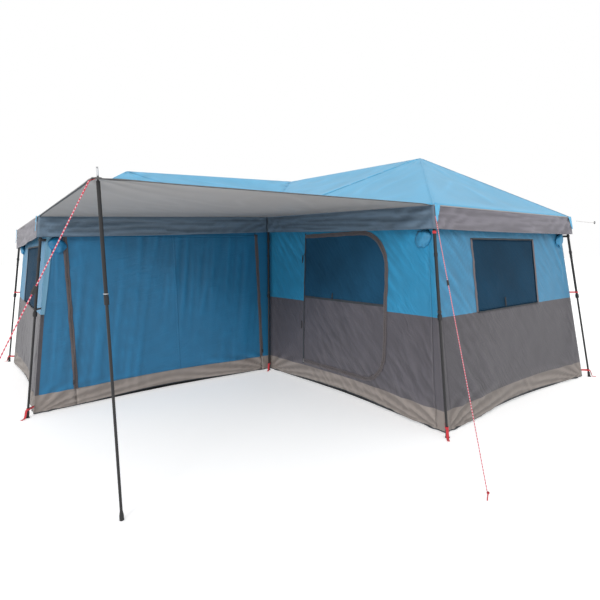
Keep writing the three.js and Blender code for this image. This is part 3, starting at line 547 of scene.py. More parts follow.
def grid_piece(name, columns, rows, carry, finishes, keep=None, pick=None):
    """A grid carried to its place. carry takes arrays of column and row values, keep and pick take face middles."""
    columns, rows = np.asarray(columns, float), np.asarray(rows, float)
    nx, ny = len(columns) - 1, len(rows) - 1
    bpy.ops.mesh.primitive_grid_add(x_subdivisions=nx, y_subdivisions=ny, size=1, location=(0, 0, 0))
    piece = bpy.context.object
    piece.name = piece.data.name = name
    flat = points_of(piece)
    i = np.rint((flat[:, 0] + 0.5) * nx).astype(int)
    j = np.rint((flat[:, 1] + 0.5) * ny).astype(int)
    u, v = columns[i], rows[j]
    for finish in finishes:
        piece.data.materials.append(finish)
    middles = np.array(
        [[u[list(f.vertices)].mean(), v[list(f.vertices)].mean()] for f in piece.data.polygons]
    )
    if pick is not None:
        piece.data.polygons.foreach_set("material_index", pick(middles[:, 0], middles[:, 1]).astype(int))
    placed = carry(u, v)
    set_points(piece, placed)
    piece.data.attributes.new("fold", "FLOAT", "POINT").data.foreach_set("value", fold_height(placed, i, j))
    if keep is not None:
        delete_faces(piece, ~keep(middles[:, 0], middles[:, 1]))
    return piece


def sheet_piece(name, columns, rows, carry, finishes, outwards, keep=None, pick=None, thick=CLOTH):
    """A sheet of cloth whose right side looks outwards."""
    piece = grid_piece(name, columns, rows, carry, finishes, keep, pick)
    face_outwards(piece, outwards)
    apply_modifier(piece, "SOLIDIFY", thickness=thick, offset=-1)
    only(piece)
    bpy.ops.object.shade_smooth()
    return piece


def spaced(*stops, step=0.03):
    """Values from the first stop to the last that hit every stop, about a step apart."""
    values = [stops[0]]
    for a, b in zip(stops, stops[1:]):
        count = max(1, round(abs(b - a) / step))
        values += [a + (b - a) * k / count for k in range(1, count + 1)]
    return np.array(values)


# %% [markdown]
# ## The walls
# The tent is lowered on its legs. A wall that lies between two corner legs is cut in two at a seam. Along the
# ground the hem is held at the legs and lifts between them.

# %% Measures of the walls
SILL, WINDOW_TOP = 0.797, 1.355
WINDOW_NEAR, WINDOW_FAR = 0.520, 1.490
BAND = 0.150
HEM_LIFT, BAND_LIFT = 0.022, 0.008
BOW = {"porch": 0.05, "minus": 0.055, "plus": 0.055}  # how far a hem draws in, midway between two legs
END_FADE = 0.14
DOOR_NEAR, DOOR_FAR, DOOR_SILL, DOOR_TOP = 0.585, 1.660, 0.200, 1.425
DOOR_TOP_RADIUS, DOOR_FOOT_RADIUS = 0.300, 0.250
DOOR_MESH_FOOT = 0.840
PANEL_NEAR, PANEL_FAR, PANEL_FOOT, PANEL_TOP = 0.110, 1.940, 0.170, 1.450
PORCH_SPLIT = 2.180  # where the right porch wall is joined to the strip beside the front leg
SIDE_SPLIT = 0.065  # the same on the two single outer walls


class Wall:
    """One wall of the tent: the direction it runs in, its plane, and the folds in its cloth."""

    def __init__(self, name, run, plane, start, finish, slant, seed, low_folds=1.0, hem_span=None):
        self.name, self.run, self.plane, self.slant, self.seed = name, run, plane, slant, seed
        self.start, self.finish = start, finish
        self.low_folds = low_folds
        self.foot = (stand_at(start, 0), stand_at(finish, 0))
        self.fixed = (self.foot[0] + 0.28, self.foot[1] - 0.10 if finish == "porch" else self.foot[1] - 0.28)
        if start == "porch":
            self.fixed = (self.foot[0] + 0.10, self.fixed[1])
        self.hem_span = hem_span or self.foot

    def place_along(self, u, z):
        """Columns stay upright in the middle of a wall, and lean with the corner at each end."""
        a, b = self.foot
        c, d = self.fixed
        near = smooth((c - u) / (c - a)) * (stand_at(self.start, z) - a)
        far = smooth((u - d) / (b - d)) * (stand_at(self.finish, z) - b)
        return u + near + far

    def between(self, u):
        """0 at the legs and 1 midway between them."""
        a, b = self.foot
        legs = [a, 0, b] if b - a > 3 else [a, b]
        share = np.interp(u, legs, range(len(legs)))
        return np.sin(math.pi * (share - np.floor(share - 1e-9))) ** 2

    def hem(self, u):
        return GROUND_GAP + HEM_LIFT * self.between(u)

    def band(self, u):
        return BAND + BAND_LIFT * self.between(u)

    def top(self, u):
        eaves = (EAVE, INNER_EAVE) if self.finish == "porch" else (EAVE, EAVE)
        return np.interp(u, (stand_at(self.start, EAVE), stand_at(self.finish, EAVE)), eaves) - WALL_TOP_DROP

    def folds(self, u, z):
        """How far the cloth stands out of the wall's plane."""
        a, b = self.foot
        fade = smooth((u - a) / END_FADE) * smooth((b - u) / END_FADE)
        fade = fade * smooth((self.top(u) - z) / 0.10)
        s, t = u + self.slant * z, u - self.slant * z
        billow = 0.011 * soft_noise(u * 0.9 + 7, z * 0.9, self.seed)
        long_folds = 0.0085 * creases(s * 1.1, t * 6.5, self.seed + 1, 1.6)
        short_folds = 0.0050 * creases(s * 2.2, t * 15, self.seed + 2, 1.2)
        low = smooth((0.9 - z) / 0.5) * self.low_folds
        patch = smooth(0.5 + soft_noise(u * 1.4, z * 1.4 + 3, self.seed + 3))
        lower = low * (0.0060 * creases(s * 1.6, t * 11, self.seed + 4, 1.4) * patch)
        ease = 0.0015 * soft_noise(u * 9, z * 9, self.seed + 5)
        out = billow + (long_folds + short_folds) * patch * 0.8 + lower + ease
        # The band along the ground gathers into folds that fan out from each leg.
        legs = [a, 0.0, b] if b - a > 3 else [a, b]
        for leg in legs:
            reach = np.hypot(u - leg, z * 1.3)
            turn = np.arctan2(z + 0.004, np.abs(u - leg) + 0.02)
            fan = np.sin(10 * np.log(turn + 0.03) + 1.6 * soft_noise(u * 2.2, z * 3, self.seed + 6))
            low = smooth((0.24 - z) / 0.12)
            out = out + 0.0095 * fan * np.exp(-((reach / 0.85) ** 2)) * smooth(reach / 0.10) * low
        return (out - 0.004) * fade - self.bow(u, z)

    def bow(self, u, z):
        """The hem is cut in a shallow curve, so it draws in between the legs, and the wall above follows."""
        return BOW[self.plane] * self.between(u) * np.clip(1 - z / 0.9, 0, 1) ** 1.6

    def point(self, u, z, lift=0.0):
        out = self.folds(u, z) + lift
        across = stand_at(self.plane, z, out)
        along = self.place_along(u, z)
        pair = (along, across) if self.run == "x" else (across, along)
        return np.stack([*np.broadcast_arrays(*pair, z)], axis=-1)

    def outwards(self):
        sign = PLANES[self.plane][0]
        return (0, sign, 0) if self.run == "x" else (sign, 0, 0)


walls = {
    "wall_left_porch": Wall("wall_left_porch", "x", "porch", "minus", "porch", 0.15, 11, 0.3),
    "wall_right_porch": Wall("wall_right_porch", "y", "porch", "minus", "porch", 1.0, 23, 1.2),
    "wall_left": Wall("wall_left", "y", "minus", "porch", "plus", -0.9, 37),
    "wall_front": Wall("wall_front", "x", "minus", "porch", "plus", -0.8, 41, 0.8),
    "wall_back": Wall("wall_back", "x", "plus", "minus", "plus", 0.7, 53),
    "wall_right": Wall("wall_right", "y", "plus", "minus", "plus", -0.7, 67),
}


def fall_with(piece):
    """Bakes the piece's placement into its mesh."""
    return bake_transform(piece)


# %% Rows, columns and outlines
HEM_TAPE = 0.06  # the lowest part of the band is a dark tape
ROWS = np.concatenate(
    [
        [0],
        spaced(HEM_TAPE, 1, step=1 / 11),
        *(spaced(k, k + 1, step=1 / n)[1:] for k, n in ((1, 30), (2, 27), (3, 8))),
    ]
)


def row_height(wall, u, row):
    """Rows count from the hem, past the band, the sill and the window's head, up to the top."""
    levels = [wall.hem(u), wall.band(u), SILL + 0 * u, WINDOW_TOP + 0 * u, wall.top(u)]
    z = levels[0]
    for k in range(4):
        z = z + (levels[k + 1] - levels[k]) * np.clip(row - k, 0, 1)
    return z


def in_window(wall, u):
    """Which columns of a wall lie in one of its windows."""
    if wall.plane == "porch":
        return np.zeros(np.shape(u), bool)
    size = np.abs(u)
    return (size > WINDOW_NEAR) & (size < WINDOW_FAR) & ((u > 0) | (wall.foot[0] < -1))


def in_door(u, z, margin=0.0):
    """Whether a point of the right porch wall is in the door's outline, which is round at its far corners."""
    far, near = -DOOR_FAR - margin, -DOOR_NEAR + margin
    foot, head = DOOR_SILL - margin, DOOR_TOP + margin
    inside = (u > far) & (u < near) & (z > foot) & (z < head)
    for radius, centre, below in (
        (DOOR_TOP_RADIUS + margin, head - DOOR_TOP_RADIUS - margin, False),
        (DOOR_FOOT_RADIUS + margin, foot + DOOR_FOOT_RADIUS + margin, True),
    ):
        corner = (u < far + radius) & ((z < centre) if below else (z > centre))
        inside &= ~(corner & (np.hypot(u - far - radius, z - centre) > radius))
    return inside


# %% Sew the walls
wall_parts = {
    "wall_left_porch_strip": ("wall_left_porch", (None, -PANEL_FAR), "left_front"),
    "wall_left_porch_side": ("wall_left_porch", (-PANEL_NEAR, None), "inner"),
    "wall_right_porch_strip": ("wall_right_porch", (None, -PORCH_SPLIT), "front_left"),
    "wall_right_porch_main": ("wall_right_porch", (-PORCH_SPLIT, None), "inner"),
    "wall_left_strip": ("wall_left", (None, SIDE_SPLIT), "left_front"),
    "wall_left_main": ("wall_left", (SIDE_SPLIT, None), "left_back"),
    "wall_front_strip": ("wall_front", (None, SIDE_SPLIT), "front_left"),
    "wall_front_main": ("wall_front", (SIDE_SPLIT, None), "front_right"),
    "wall_back_left": ("wall_back", (None, 0.0), "left_back"),
    "wall_back_right": ("wall_back", (0.0, None), "back_right"),
    "wall_right_front": ("wall_right", (None, 0.0), "front_right"),
    "wall_right_back": ("wall_right", (0.0, None), "back_right"),
}
STOPS = (
    -PORCH_SPLIT, -PANEL_FAR, -DOOR_NEAR, -PANEL_NEAR, -WINDOW_FAR, -WINDOW_NEAR, WINDOW_NEAR, WINDOW_FAR
)
CORNER_WRAP = 0.028  # the side wall's cloth turns the corner by this much


def wall_columns(wall, low, high, step=0.021):
    low = wall.foot[0] if low is None else low
    high = wall.foot[1] if high is None else high
    stops = sorted({low, high, *(s for s in STOPS if low + 0.02 < s < high - 0.02)})
    if wall.name == "wall_left_porch" and low < -2:
        stops.insert(1, low + CORNER_WRAP)
    return spaced(*stops, step=step)


def wall_pick(wall):
    def pick(u, row):
        index = np.where(row < HEM_TAPE, 3, np.where(row < 1, 2, np.where(row < 2, 1, 0)))
        if wall.name == "wall_left_porch":
            index = np.where((row > 1) & (row < 2) & (u > wall.foot[0] + CORNER_WRAP), 0, index)
        return index

    return pick


def wall_keep(wall):
    def keep(u, row):
        z = row_height(wall, u, row)
        kept = ~(in_window(wall, u) & (row > 2) & (row < 3))
        if wall.name == "wall_right_porch":
            kept &= ~in_door(u, z)
        return kept

    return keep


for name, (wall_name, (low, high), leg) in wall_parts.items():
    wall = walls[wall_name]
    columns = wall_columns(wall, low, high)
    way = "rising" if wall_name in ("wall_right_porch", "wall_back") else "falling"
    blue = {
        "wall_left_porch": porch_cloth, "wall_right_porch": door_wall_lit_blue
    }.get(wall_name, wall_cloth[way])
    piece = sheet_piece(
        name,
        columns,
        ROWS,
        lambda u, row, wall=wall: wall.point(u, row_height(wall, u, row)),
        [blue, lower_cloth[way], band_cloth if wall.plane == "porch" else outer_band_shaded_cloth, binding_cloth],
        wall.outwards(),
        keep=wall_keep(wall),
        pick=wall_pick(wall),
    )
    width, height = columns[-1] - columns[0], float(wall.top(columns.mean())) - GROUND_GAP
    fall_with(piece)
    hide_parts(wall_name)
    print(name, round(width, 3), "by", round(height, 3), "m")


# %% The foot and the head of the left porch wall
def strip_between(name, wall, low, high, bottom, top, finishes, step=0.021, pick=None):
    """A part of a wall between two lines, given as functions of the place along the wall."""
    columns = spaced(low, high, step=step)
    middle = columns.mean()
    rows = spaced(0, HEM_TAPE, 1, step=min(0.09, step / float(top(middle) - bottom(middle))))
    return sheet_piece(
        name,
        columns,
        rows,
        lambda u, t: wall.point(u, bottom(u) + (top(u) - bottom(u)) * t),
        finishes,
        wall.outwards(),
        pick=pick,
    )


left_porch, right_porch = walls["wall_left_porch"], walls["wall_right_porch"]
for name, bottom, top, finishes, pick in (
    (
        "wall_left_porch_foot",
        left_porch.hem,
        left_porch.band,
        [band_cloth, binding_cloth],
        lambda u, t: t < HEM_TAPE,
    ),
    ("wall_left_porch_head", lambda u: PANEL_TOP - 0.001 + 0 * u, left_porch.top, [porch_cloth], None),
):
    piece = strip_between(name, left_porch, -PANEL_FAR, -PANEL_NEAR, bottom, top, finishes, pick=pick)
    fall_with(piece)
    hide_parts("wall_left_porch")
    middle = -1.0
    size = (PANEL_FAR - PANEL_NEAR, float(top(middle) - bottom(middle)))
    print(name, round(size[0], 3), "by", round(size[1], 3), "m")

# %% [markdown]
# ## Tapes, tubes and paths
# A zip tape or a binding is a narrow strip that is sewn along a line on the wall, so it takes the wall's own
# folds and stands just proud of them. Webbing is a strip through the air, and a rope or a piping is a tube.

# %% Helpers for tapes and tubes
class Path:
    """A line through points, measured along its length."""

    def __init__(self, points):
        self.points = np.asarray(points, float)
        gaps = np.linalg.norm(np.diff(self.points, axis=0), axis=1)
        self.stations = np.concatenate([[0], np.cumsum(gaps)])
        self.length = float(self.stations[-1])

    def at(self, s):
        s = np.clip(s, 0, self.length)
        return np.stack([np.interp(s, self.stations, column) for column in self.points.T], axis=-1)

    def direction(self, s, reach=0.012):
        ahead = self.at(s + reach) - self.at(s - reach)
        return ahead / np.linalg.norm(ahead, axis=-1, keepdims=True)

    def steps(self, step):
        return np.linspace(0, self.length, max(2, round(self.length / step)) + 1)


def wall_tape(name, wall, points, width, finish, lift=0.0025, crown=0.0, wave=0.0, seed=1, step=0.02):
    """A tape sewn on a wall along (place, height) points. crown raises its middle, and wave lets it wander."""
    path = Path(points)

    def carry(s, v):
        place, run = path.at(s), path.direction(s)
        ends = smooth(s / 0.06) * smooth((path.length - s) / 0.06)
        across = v * width / 2 + wave * ends * soft_noise(s * 11, v * 0.3, seed)
        up = lift + crown * np.exp(-((v / 0.2) ** 2)) + wave * 0.4 * ends * (
            soft_noise(s * 23, v, seed + 1) + 0.6
        )
        return wall.point(place[:, 0] - run[:, 1] * across, place[:, 1] + run[:, 0] * across, up)

    return sheet_piece(
        name, path.steps(step), np.linspace(-1, 1, 7), carry, [finish], wall.outwards(), thick=0.0008
    )


def webbing(name, points, facing, width, finish, curl=0.0, seed=1, step=0.008, thick=0.0014):
    """A strip of webbing through the air along points. facing is the way its flat side looks."""
    path, facing = Path(points), np.asarray(facing, float)

    def carry(s, v):
        run = path.direction(s, 0.006)
        side = np.cross(run, facing)
        side /= np.linalg.norm(side, axis=-1, keepdims=True)
        out = np.cross(side, run)
        bend = curl * (v**2 + soft_noise(s * 30, v, seed))
        return path.at(s) + side * (v * width / 2)[:, None] + out * bend[:, None]

    return sheet_piece(name, path.steps(step), np.linspace(-1, 1, 5), carry, [finish], facing, thick=thick)


def close_ends(piece):
    """Welds a grid that is rolled into a tube, and fills its two ends."""
    only(piece)
    bpy.ops.object.mode_set(mode="EDIT")
    bpy.ops.mesh.select_all(action="SELECT")
    bpy.ops.mesh.remove_doubles(threshold=1e-6)
    bpy.ops.mesh.fill_holes(sides=0)
    bpy.ops.mesh.normals_make_consistent(inside=False)
    bpy.ops.object.mode_set(mode="OBJECT")
    bpy.ops.object.shade_smooth()
    return piece


def tube(name, points, radius, finish, sides=10, step=0.02):
    """A round tube along points, closed at both ends."""
    path = Path(points)
    along = path.direction(np.array([path.length / 2]))[0]
    guide = np.eye(3)[np.argmin(np.abs(along))]

    def carry(s, angle):
        run = path.direction(s, 0.006)
        first = np.cross(run, guide)
        first /= np.linalg.norm(first, axis=-1, keepdims=True)
        second = np.cross(run, first)
        return path.at(s) + radius * (np.cos(angle)[:, None] * first + np.sin(angle)[:, None] * second)

    return close_ends(
        grid_piece(name, path.steps(step), np.linspace(0, math.tau, sides + 1), carry, [finish])
    )


def joined(name, pieces):
    """Several pieces made one."""
    bpy.ops.object.select_all(action="DESELECT")
    for piece in pieces:
        piece.select_set(True)
    bpy.context.view_layer.objects.active = pieces[0]
    if len(pieces) > 1:
        bpy.ops.object.join()
    pieces[0].name = pieces[0].data.name = name
    return pieces[0]


def arc(centre, radius, start, stop, count=9):
    """Points of an arc in a wall, with angles in degrees from its run."""
    return [
        (centre[0] + radius * math.cos(math.radians(a)), centre[1] + radius * math.sin(math.radians(a)))
        for a in np.linspace(start, stop, count)
    ]


# %% [markdown]
# ## Windows
# The windows are insect mesh, sewn behind the wall with a border tape round it. A blind hangs inside each one,
# and a toggle and loop at the side hold it when it is rolled. The blind falls with its own body.

# %% Mesh panes, borders and blinds
window_rows = spaced(SILL, WINDOW_TOP, step=0.026)
BORDER = 0.024
pane_places = {
    "left": ("wall_left", 1, "left_back", "blind_left"),
    "front": ("wall_front", 1, "front_right", "blind_front"),
    "back_left": ("wall_back", -1, "left_back", "blind_back_left"),
    "back_right": ("wall_back", 1, "back_right", "blind_back_right"),
    "right_back": ("wall_right", 1, "back_right", "blind_right_back"),
    "right_front": ("wall_right", -1, "front_right", "blind_right_front"),
}
BLIND_MARGIN, BLIND_DEPTH = 0.012, 0.011


def blind_lift(wall, u, z):
    """A blind follows its wall's folds, but is flat at its hinge so that it can turn there."""
    return -BLIND_DEPTH - wall.folds(u, z) * (1 - smooth((z - SILL) / 0.12))


for name, (wall_name, sign, leg, blind) in pane_places.items():
    wall = walls[wall_name]
    near, far = sorted((sign * WINDOW_NEAR, sign * WINDOW_FAR))
    columns = spaced(near, far, step=0.026)
    pane = sheet_piece(
        "window_mesh_" + name,
        columns,
        window_rows,
        lambda u, z, wall=wall: wall.point(u, z, -0.0035),
        [window_mesh["rising" if wall_name == "wall_back" else "falling"]],
        wall.outwards(),
        thick=0.0005,
    )
    fall_with(pane)
    inset = BORDER / 2 - 0.006
    sides = [
        ([(near - inset, SILL - 0.002), (near - inset, WINDOW_TOP + 0.006)], BORDER, border_tape),
        ([(far + inset, SILL - 0.002), (far + inset, WINDOW_TOP + 0.006)], BORDER, border_tape),
        ([(near, WINDOW_TOP + 0.002), (far, WINDOW_TOP + 0.002)], 0.012, binding_cloth),
        ([(near, SILL - 0.002), (far, SILL - 0.002)], 0.008, binding_cloth),
    ]
    tapes = [
        wall_tape(
            f"border_{k}", wall, points, width, tape, lift=0.0022 + 0.0006 * k, wave=0.0015, seed=90 + k
        )
        for k, (points, width, tape) in enumerate(sides)
    ]
    border = joined("window_border_" + name, tapes)
    fall_with(border)
    cloth = sheet_piece(
        blind + "_cloth",
        spaced(near - BLIND_MARGIN, far + BLIND_MARGIN, step=0.03),
        spaced(SILL - BLIND_MARGIN, WINDOW_TOP + BLIND_MARGIN, step=0.03),
        lambda u, z, wall=wall: wall.point(u, z, blind_lift(wall, u, z)),
        [blind_cloth],
        wall.outwards(),
    )
    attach(cloth, blind)
    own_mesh(cloth)
    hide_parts(blind)
    size = (far - near + 2 * BLIND_MARGIN, WINDOW_TOP - SILL + 2 * BLIND_MARGIN)
print("windows", list(pane_places))

# %% [markdown]
# ## The door and the front panel
# The door is hinged on a seam near the inner corner. Its zip runs up from the foot of the seam, round the far
# side and back along the top. The upper part is mesh and the lower part is cloth. The front panel closes the
# whole of the other porch wall, between two upright zips, and is sewn from two widths of cloth.

# %% Door flap
door_rows = spaced(DOOR_SILL, DOOR_MESH_FOOT, DOOR_TOP, step=0.0215)
door = sheet_piece(
    "door_cloth",
    spaced(-DOOR_FAR, -DOOR_NEAR, step=0.0215),
    door_rows,
    lambda u, z: right_porch.point(u, z),
    [door_mesh, lower_cloth["rising"]],
    right_porch.outwards(),
    keep=lambda u, z: in_door(u, z, -0.006),
    pick=lambda u, z: z < DOOR_MESH_FOOT,
)


def with_door(piece):
    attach(piece, "door_flap")
    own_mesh(piece)
    return piece


with_door(door)
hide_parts("door_flap")


def door_line(margin):
    """The door's outline without its hinge, from the foot of the seam round to the top of it."""
    low, high, far = DOOR_SILL - margin, DOOR_TOP + margin, -DOOR_FAR - margin
    foot, head = DOOR_FOOT_RADIUS + margin, DOOR_TOP_RADIUS + margin
    return [
        (-DOOR_NEAR, low),
        *arc((far + foot, low + foot), foot, 270, 180),
        *arc((far + head, high - head), head, 180, 90),
        (-DOOR_NEAR, high),
    ]


zip_outside = wall_tape("door_zip_outer", right_porch, door_line(0.009), 0.020, zip_tape, 0.003, 0, 0.003, 5)
fall_with(zip_outside)
zip_inside = with_door(
    wall_tape("door_zip_inner", right_porch, door_line(-0.008), 0.018, zip_tape, 0.003, 0, 0.003, 5)
)
zip_teeth = wall_tape(
    "door_zip_teeth", right_porch, door_line(0.0), 0.006, zip_teeth_finish, 0.0045, 0.001, 0.003, 5
)
fall_with(zip_teeth)
hinge_seam = wall_tape(
    "door_hinge_seam", right_porch, [
        (-DOOR_NEAR, DOOR_SILL - 0.03), (-DOOR_NEAR, DOOR_TOP + 0.03)
    ], 0.016, binding_cloth
)
fall_with(hinge_seam)
mesh_seam = with_door(
    wall_tape(
        "door_mesh_seam",
        right_porch,
        [(-DOOR_FAR + 0.012, DOOR_MESH_FOOT), (-DOOR_NEAR - 0.012, DOOR_MESH_FOOT)],
        0.020,
        binding_cloth,
        wave=0.001,
    )
)

# %% Front panel
panel = strip_between(
    "front_panel_cloth",
    left_porch,
    -PANEL_FAR,
    -PANEL_NEAR,
    left_porch.band,
    lambda u: PANEL_TOP + 0 * u,
    [porch_cloth],
)


def with_panel(piece):
    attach(piece, "front_panel")
    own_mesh(piece)
    return piece


with_panel(panel)
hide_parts("front_panel")
head_seam = wall_tape(
    "front_panel_hinge_tape", left_porch, [
        (-PANEL_FAR, PANEL_TOP), (-PANEL_NEAR, PANEL_TOP)
    ], 0.020, porch_cloth, 0.0025
)
fall_with(head_seam)
PANEL_SEAM = -1.02
panel_seam = with_panel(
    wall_tape(
        "front_panel_seam",
        left_porch,
        [(PANEL_SEAM, PANEL_FOOT), (PANEL_SEAM, PANEL_TOP)],
        0.016,
        porch_cloth,
    )
)
for side, place, leg in (("left", -PANEL_FAR, "left_front"), ("right", -PANEL_NEAR, "inner")):
    line = [(place, PANEL_FOOT - 0.02), (place, PANEL_TOP + 0.02)]
    tape = wall_tape("front_zip_" + side, left_porch, line, 0.034, zip_tape, 0.003, 0, 0.004, 31, 0.016)
    teeth = wall_tape(
        "front_zip_teeth_" + side, left_porch, line, 0.007, zip_teeth_finish, 0.005, 0.001, 0.004, 31, 0.016
    )
    for piece in (tape, teeth):
        fall_with(piece)
print("front panel", PANEL_FAR - PANEL_NEAR, "by", PANEL_TOP - PANEL_FOOT)

# %% [markdown]
# ## The roof
# The roof is one cover: twelve triangles of cloth, sewn along the lines where the arms lie under it. Each panel
# sags a little between its seams. Over each hub the cloth is gathered, so it crumples there.

# %% Roof cloth
CABIN = 2.120
PLAN = {
    "left_front": (-CABIN, 0),
    "inner": (0, 0),
    "front_left": (0, -CABIN),
    "front_right": (CABIN, -CABIN),
    "right_middle": (CABIN, 0),
    "back_right": (CABIN, CABIN),
    "back_middle": (0, CABIN),
    "left_back": (-CABIN, CABIN),
}
EDGE = 0.006  # the band's cloth stands outside the arms' lines by this much
SIGNS = {
    "left_front": (-1, -1),
    "inner": (-1, -1),
    "front_left": (-1, -1),
    "front_right": (1, -1),
    "right_middle": (1, 0),
    "back_right": (1, 1),
    "back_middle": (0, 1),
    "left_back": (-1, 1),
}
PEAKS = {"left": (-1.120, 1.120, 2.200), "corner": (1.120, 1.120, 2.280), "right": (1.120, -1.120, 2.200)}


def eave_point(name):
    (x, y), (sx, sy) = PLAN[name], SIGNS[name]
    return np.array([x + sx * EDGE, y + sy * EDGE, INNER_EAVE if name == "inner" else EAVE])


def roof_point(name):
    return np.array(PEAKS[name]) if name in PEAKS else eave_point(name)


PANELS = [
    ("left_back", "left_front", "left"),
    ("left_front", "inner", "left"),
    ("inner", "corner", "left"),
    ("inner", "right", "corner"),
    ("inner", "front_left", "right"),
    ("front_left", "front_right", "right"),
    ("front_right", "right_middle", "right"),
    ("right_middle", "corner", "right"),
    ("right_middle", "back_right", "corner"),
    ("back_right", "back_middle", "corner"),
    ("back_middle", "left", "corner"),
    ("back_middle", "left_back", "left"),
]
SAG = 0.016
PEAK_POINTS = np.array(list(PEAKS.values()))


def crumple(points, inside):
    """How far the roof's cloth stands out of its panel. inside is 0 on a seam and 1 in the middle of a panel."""
    x, y = points[:, 0], points[:, 1]
    out = 0.004 * soft_noise(x * 3.1, y * 3.1, 201) * inside
    for k, peak in enumerate(PEAK_POINTS):
        dx, dy = x - peak[0], y - peak[1]
        reach, turn = np.hypot(dx, dy), np.arctan2(dy, dx)
        rays = np.sin(turn * 11 + 2.5 * soft_noise(x * 2.5, y * 2.5, 210 + k))
        out += 0.008 * rays * np.exp(-reach / 0.24) * smooth(reach / 0.10) * (0.35 + 0.65 * inside)
        lump = soft_noise(x * 7 + k, y * 7, 220 + k)
        out += 0.007 * lump * np.exp(-reach / 0.30) * smooth(reach / 0.07)
    return out


panels = []
for k, (first, second, top) in enumerate(PANELS):
    a, b, c = (roof_point(n) for n in (first, second, top))
    normal = np.cross(b - a, c - a)
    normal = normal * np.sign(normal[2]) / np.linalg.norm(normal)

    def carry(s, t, a=a, b=b, c=c, normal=normal, k=k):
        share_c = t
        share_b = s * (1 - t)
        share_a = 1 - share_b - share_c
        flat = share_a[:, None] * a + share_b[:, None] * b + share_c[:, None] * c
        inside = smooth(share_a * share_b * share_c * 27)
        rim = smooth(np.minimum(t if c[2] > 2 else 1, 1) / 0.05) if a[2] < 2 and b[2] < 2 else 1.0
        out = crumple(flat, inside) * rim - SAG * inside
        along_rim = creases(s * 3, t * 2 + k, 240 + k, 1.4) * inside * 0.004
        return flat + (out + along_rim)[:, None] * normal

    panels.append(
        grid_piece(f"panel_{k}", np.linspace(0, 1, 49), np.linspace(0, 1, 37) ** 0.9, carry, [roof_cloth])
    )
roof = joined("roof_cover_cloth", panels)
only(roof)
bpy.ops.object.mode_set(mode="EDIT")
bpy.ops.mesh.select_all(action="SELECT")
bpy.ops.mesh.remove_doubles(threshold=0.004)
bpy.ops.mesh.normals_make_consistent(inside=False)
bpy.ops.object.mode_set(mode="OBJECT")
face_outwards(roof, (0, 0, 1))
apply_modifier(roof, "SOLIDIFY", thickness=CLOTH, offset=-1)
bpy.ops.object.shade_smooth()
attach(roof, ROOT)
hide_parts("roof_cover")

# %% [markdown]
# ## The band round the roof
# A band of cloth hangs from the roof's edge all round. It is loose at its foot, so it carries long, nearly
# level folds that gather towards the legs. A pale piping lies in the seam above it.

# %% Roof band and piping
BAND_DROP, BAND_FLARE = 0.165, 0.022
RING = [
    "left_front",
    "inner",
    "front_left",
    "front_right",
    "right_middle",
    "back_right",
    "back_middle",
    "left_back",
]
porch_edges = {("left_front", "inner"), ("inner", "front_left")}
# Painted light: the band over the porch is the band's grey cloth tinted slate blue, for the blue light that falls
# on it under the awning.
porch_band_blue_bounce = cloth_finish("porch roof band cloth", (0.100, 0.155, 0.215), 0.5, pull=40, depth=0.5)


def band_foot(name):
    sx, sy = SIGNS[name]
    porch_x = name in ("inner", "front_left")
    porch_y = name in ("inner", "left_front")
    shift = np.array([0 if porch_x else sx, 0 if porch_y else sy, 0]) * BAND_FLARE
    loose = 0.05 if name == "left_back" else 0.0
    return eave_point(name) + shift - np.array([0, 0, BAND_DROP + loose])


for k, (first, second) in enumerate(zip(RING, RING[1:] + RING[:1])):
    a, b, c, d = eave_point(first), eave_point(second), band_foot(first), band_foot(second)
    length = np.linalg.norm(b - a)
    out_way = np.cross(b - a, (0, 0, 1))
    out_way /= np.linalg.norm(out_way)
    out_way = out_way if np.dot(out_way, (a + b) / 2 - (0.7, 0.7, 0)) > 0 else -out_way
    if (first, second) in porch_edges:
        out_way = np.array([0, -1.0, 0]) if abs(a[1] - b[1]) < 0.1 else np.array([-1.0, 0, 0])

    def carry(s, t, a=a, b=b, c=c, d=d, length=length, out_way=out_way, k=k):
        share = s / length
        upper = (1 - share)[:, None] * a + share[:, None] * b
        lower = (1 - share)[:, None] * c + share[:, None] * d
        point = (1 - t)[:, None] * upper + t[:, None] * lower
        ends = smooth(share / 0.04) * smooth((1 - share) / 0.04)
        level = t * 2.3 + 0.35 * soft_noise(s * 1.3, t, 300 + k)
        folds = 0.016 * (
            creases(s * 0.8, level * 1.5, 310 + k, 1.1) - 0.35
        ) + 0.005 * soft_noise(s * 6, t * 3, 320 + k)
        near_leg = np.exp(-np.minimum(s, length - s) / 0.30)
        folds += 0.008 * np.sin(s * 34 + t * 9 + 3 * soft_noise(s * 4, t * 2, 330 + k)) * near_leg
        sag = 0.006 * np.sin(math.pi * share) * t
        limp = smooth(t / 0.15) * ends
        point = point + (folds * limp)[:, None] * out_way
        point[:, 2] -= sag
        return point

    finish = porch_band_blue_bounce if (first, second) in porch_edges else valance_cloth
    columns = np.linspace(0, length, round(length / 0.022) + 1)
    band = sheet_piece(f"roof_band_{k}", columns, np.linspace(0, 1, 13), carry, [finish], out_way)
    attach(band, ROOT)
    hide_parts("roof_cover")
    if (first, second) not in porch_edges:
        line = [a + out_way * 0.002, b + out_way * 0.002]
        piping = tube(f"roof_piping_{k}", [p - (0, 0, 0.004) for p in line], 0.0045, piping_cloth, 8, 0.1)
        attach(piping, ROOT)
print("roof band of", len(RING), "sides")

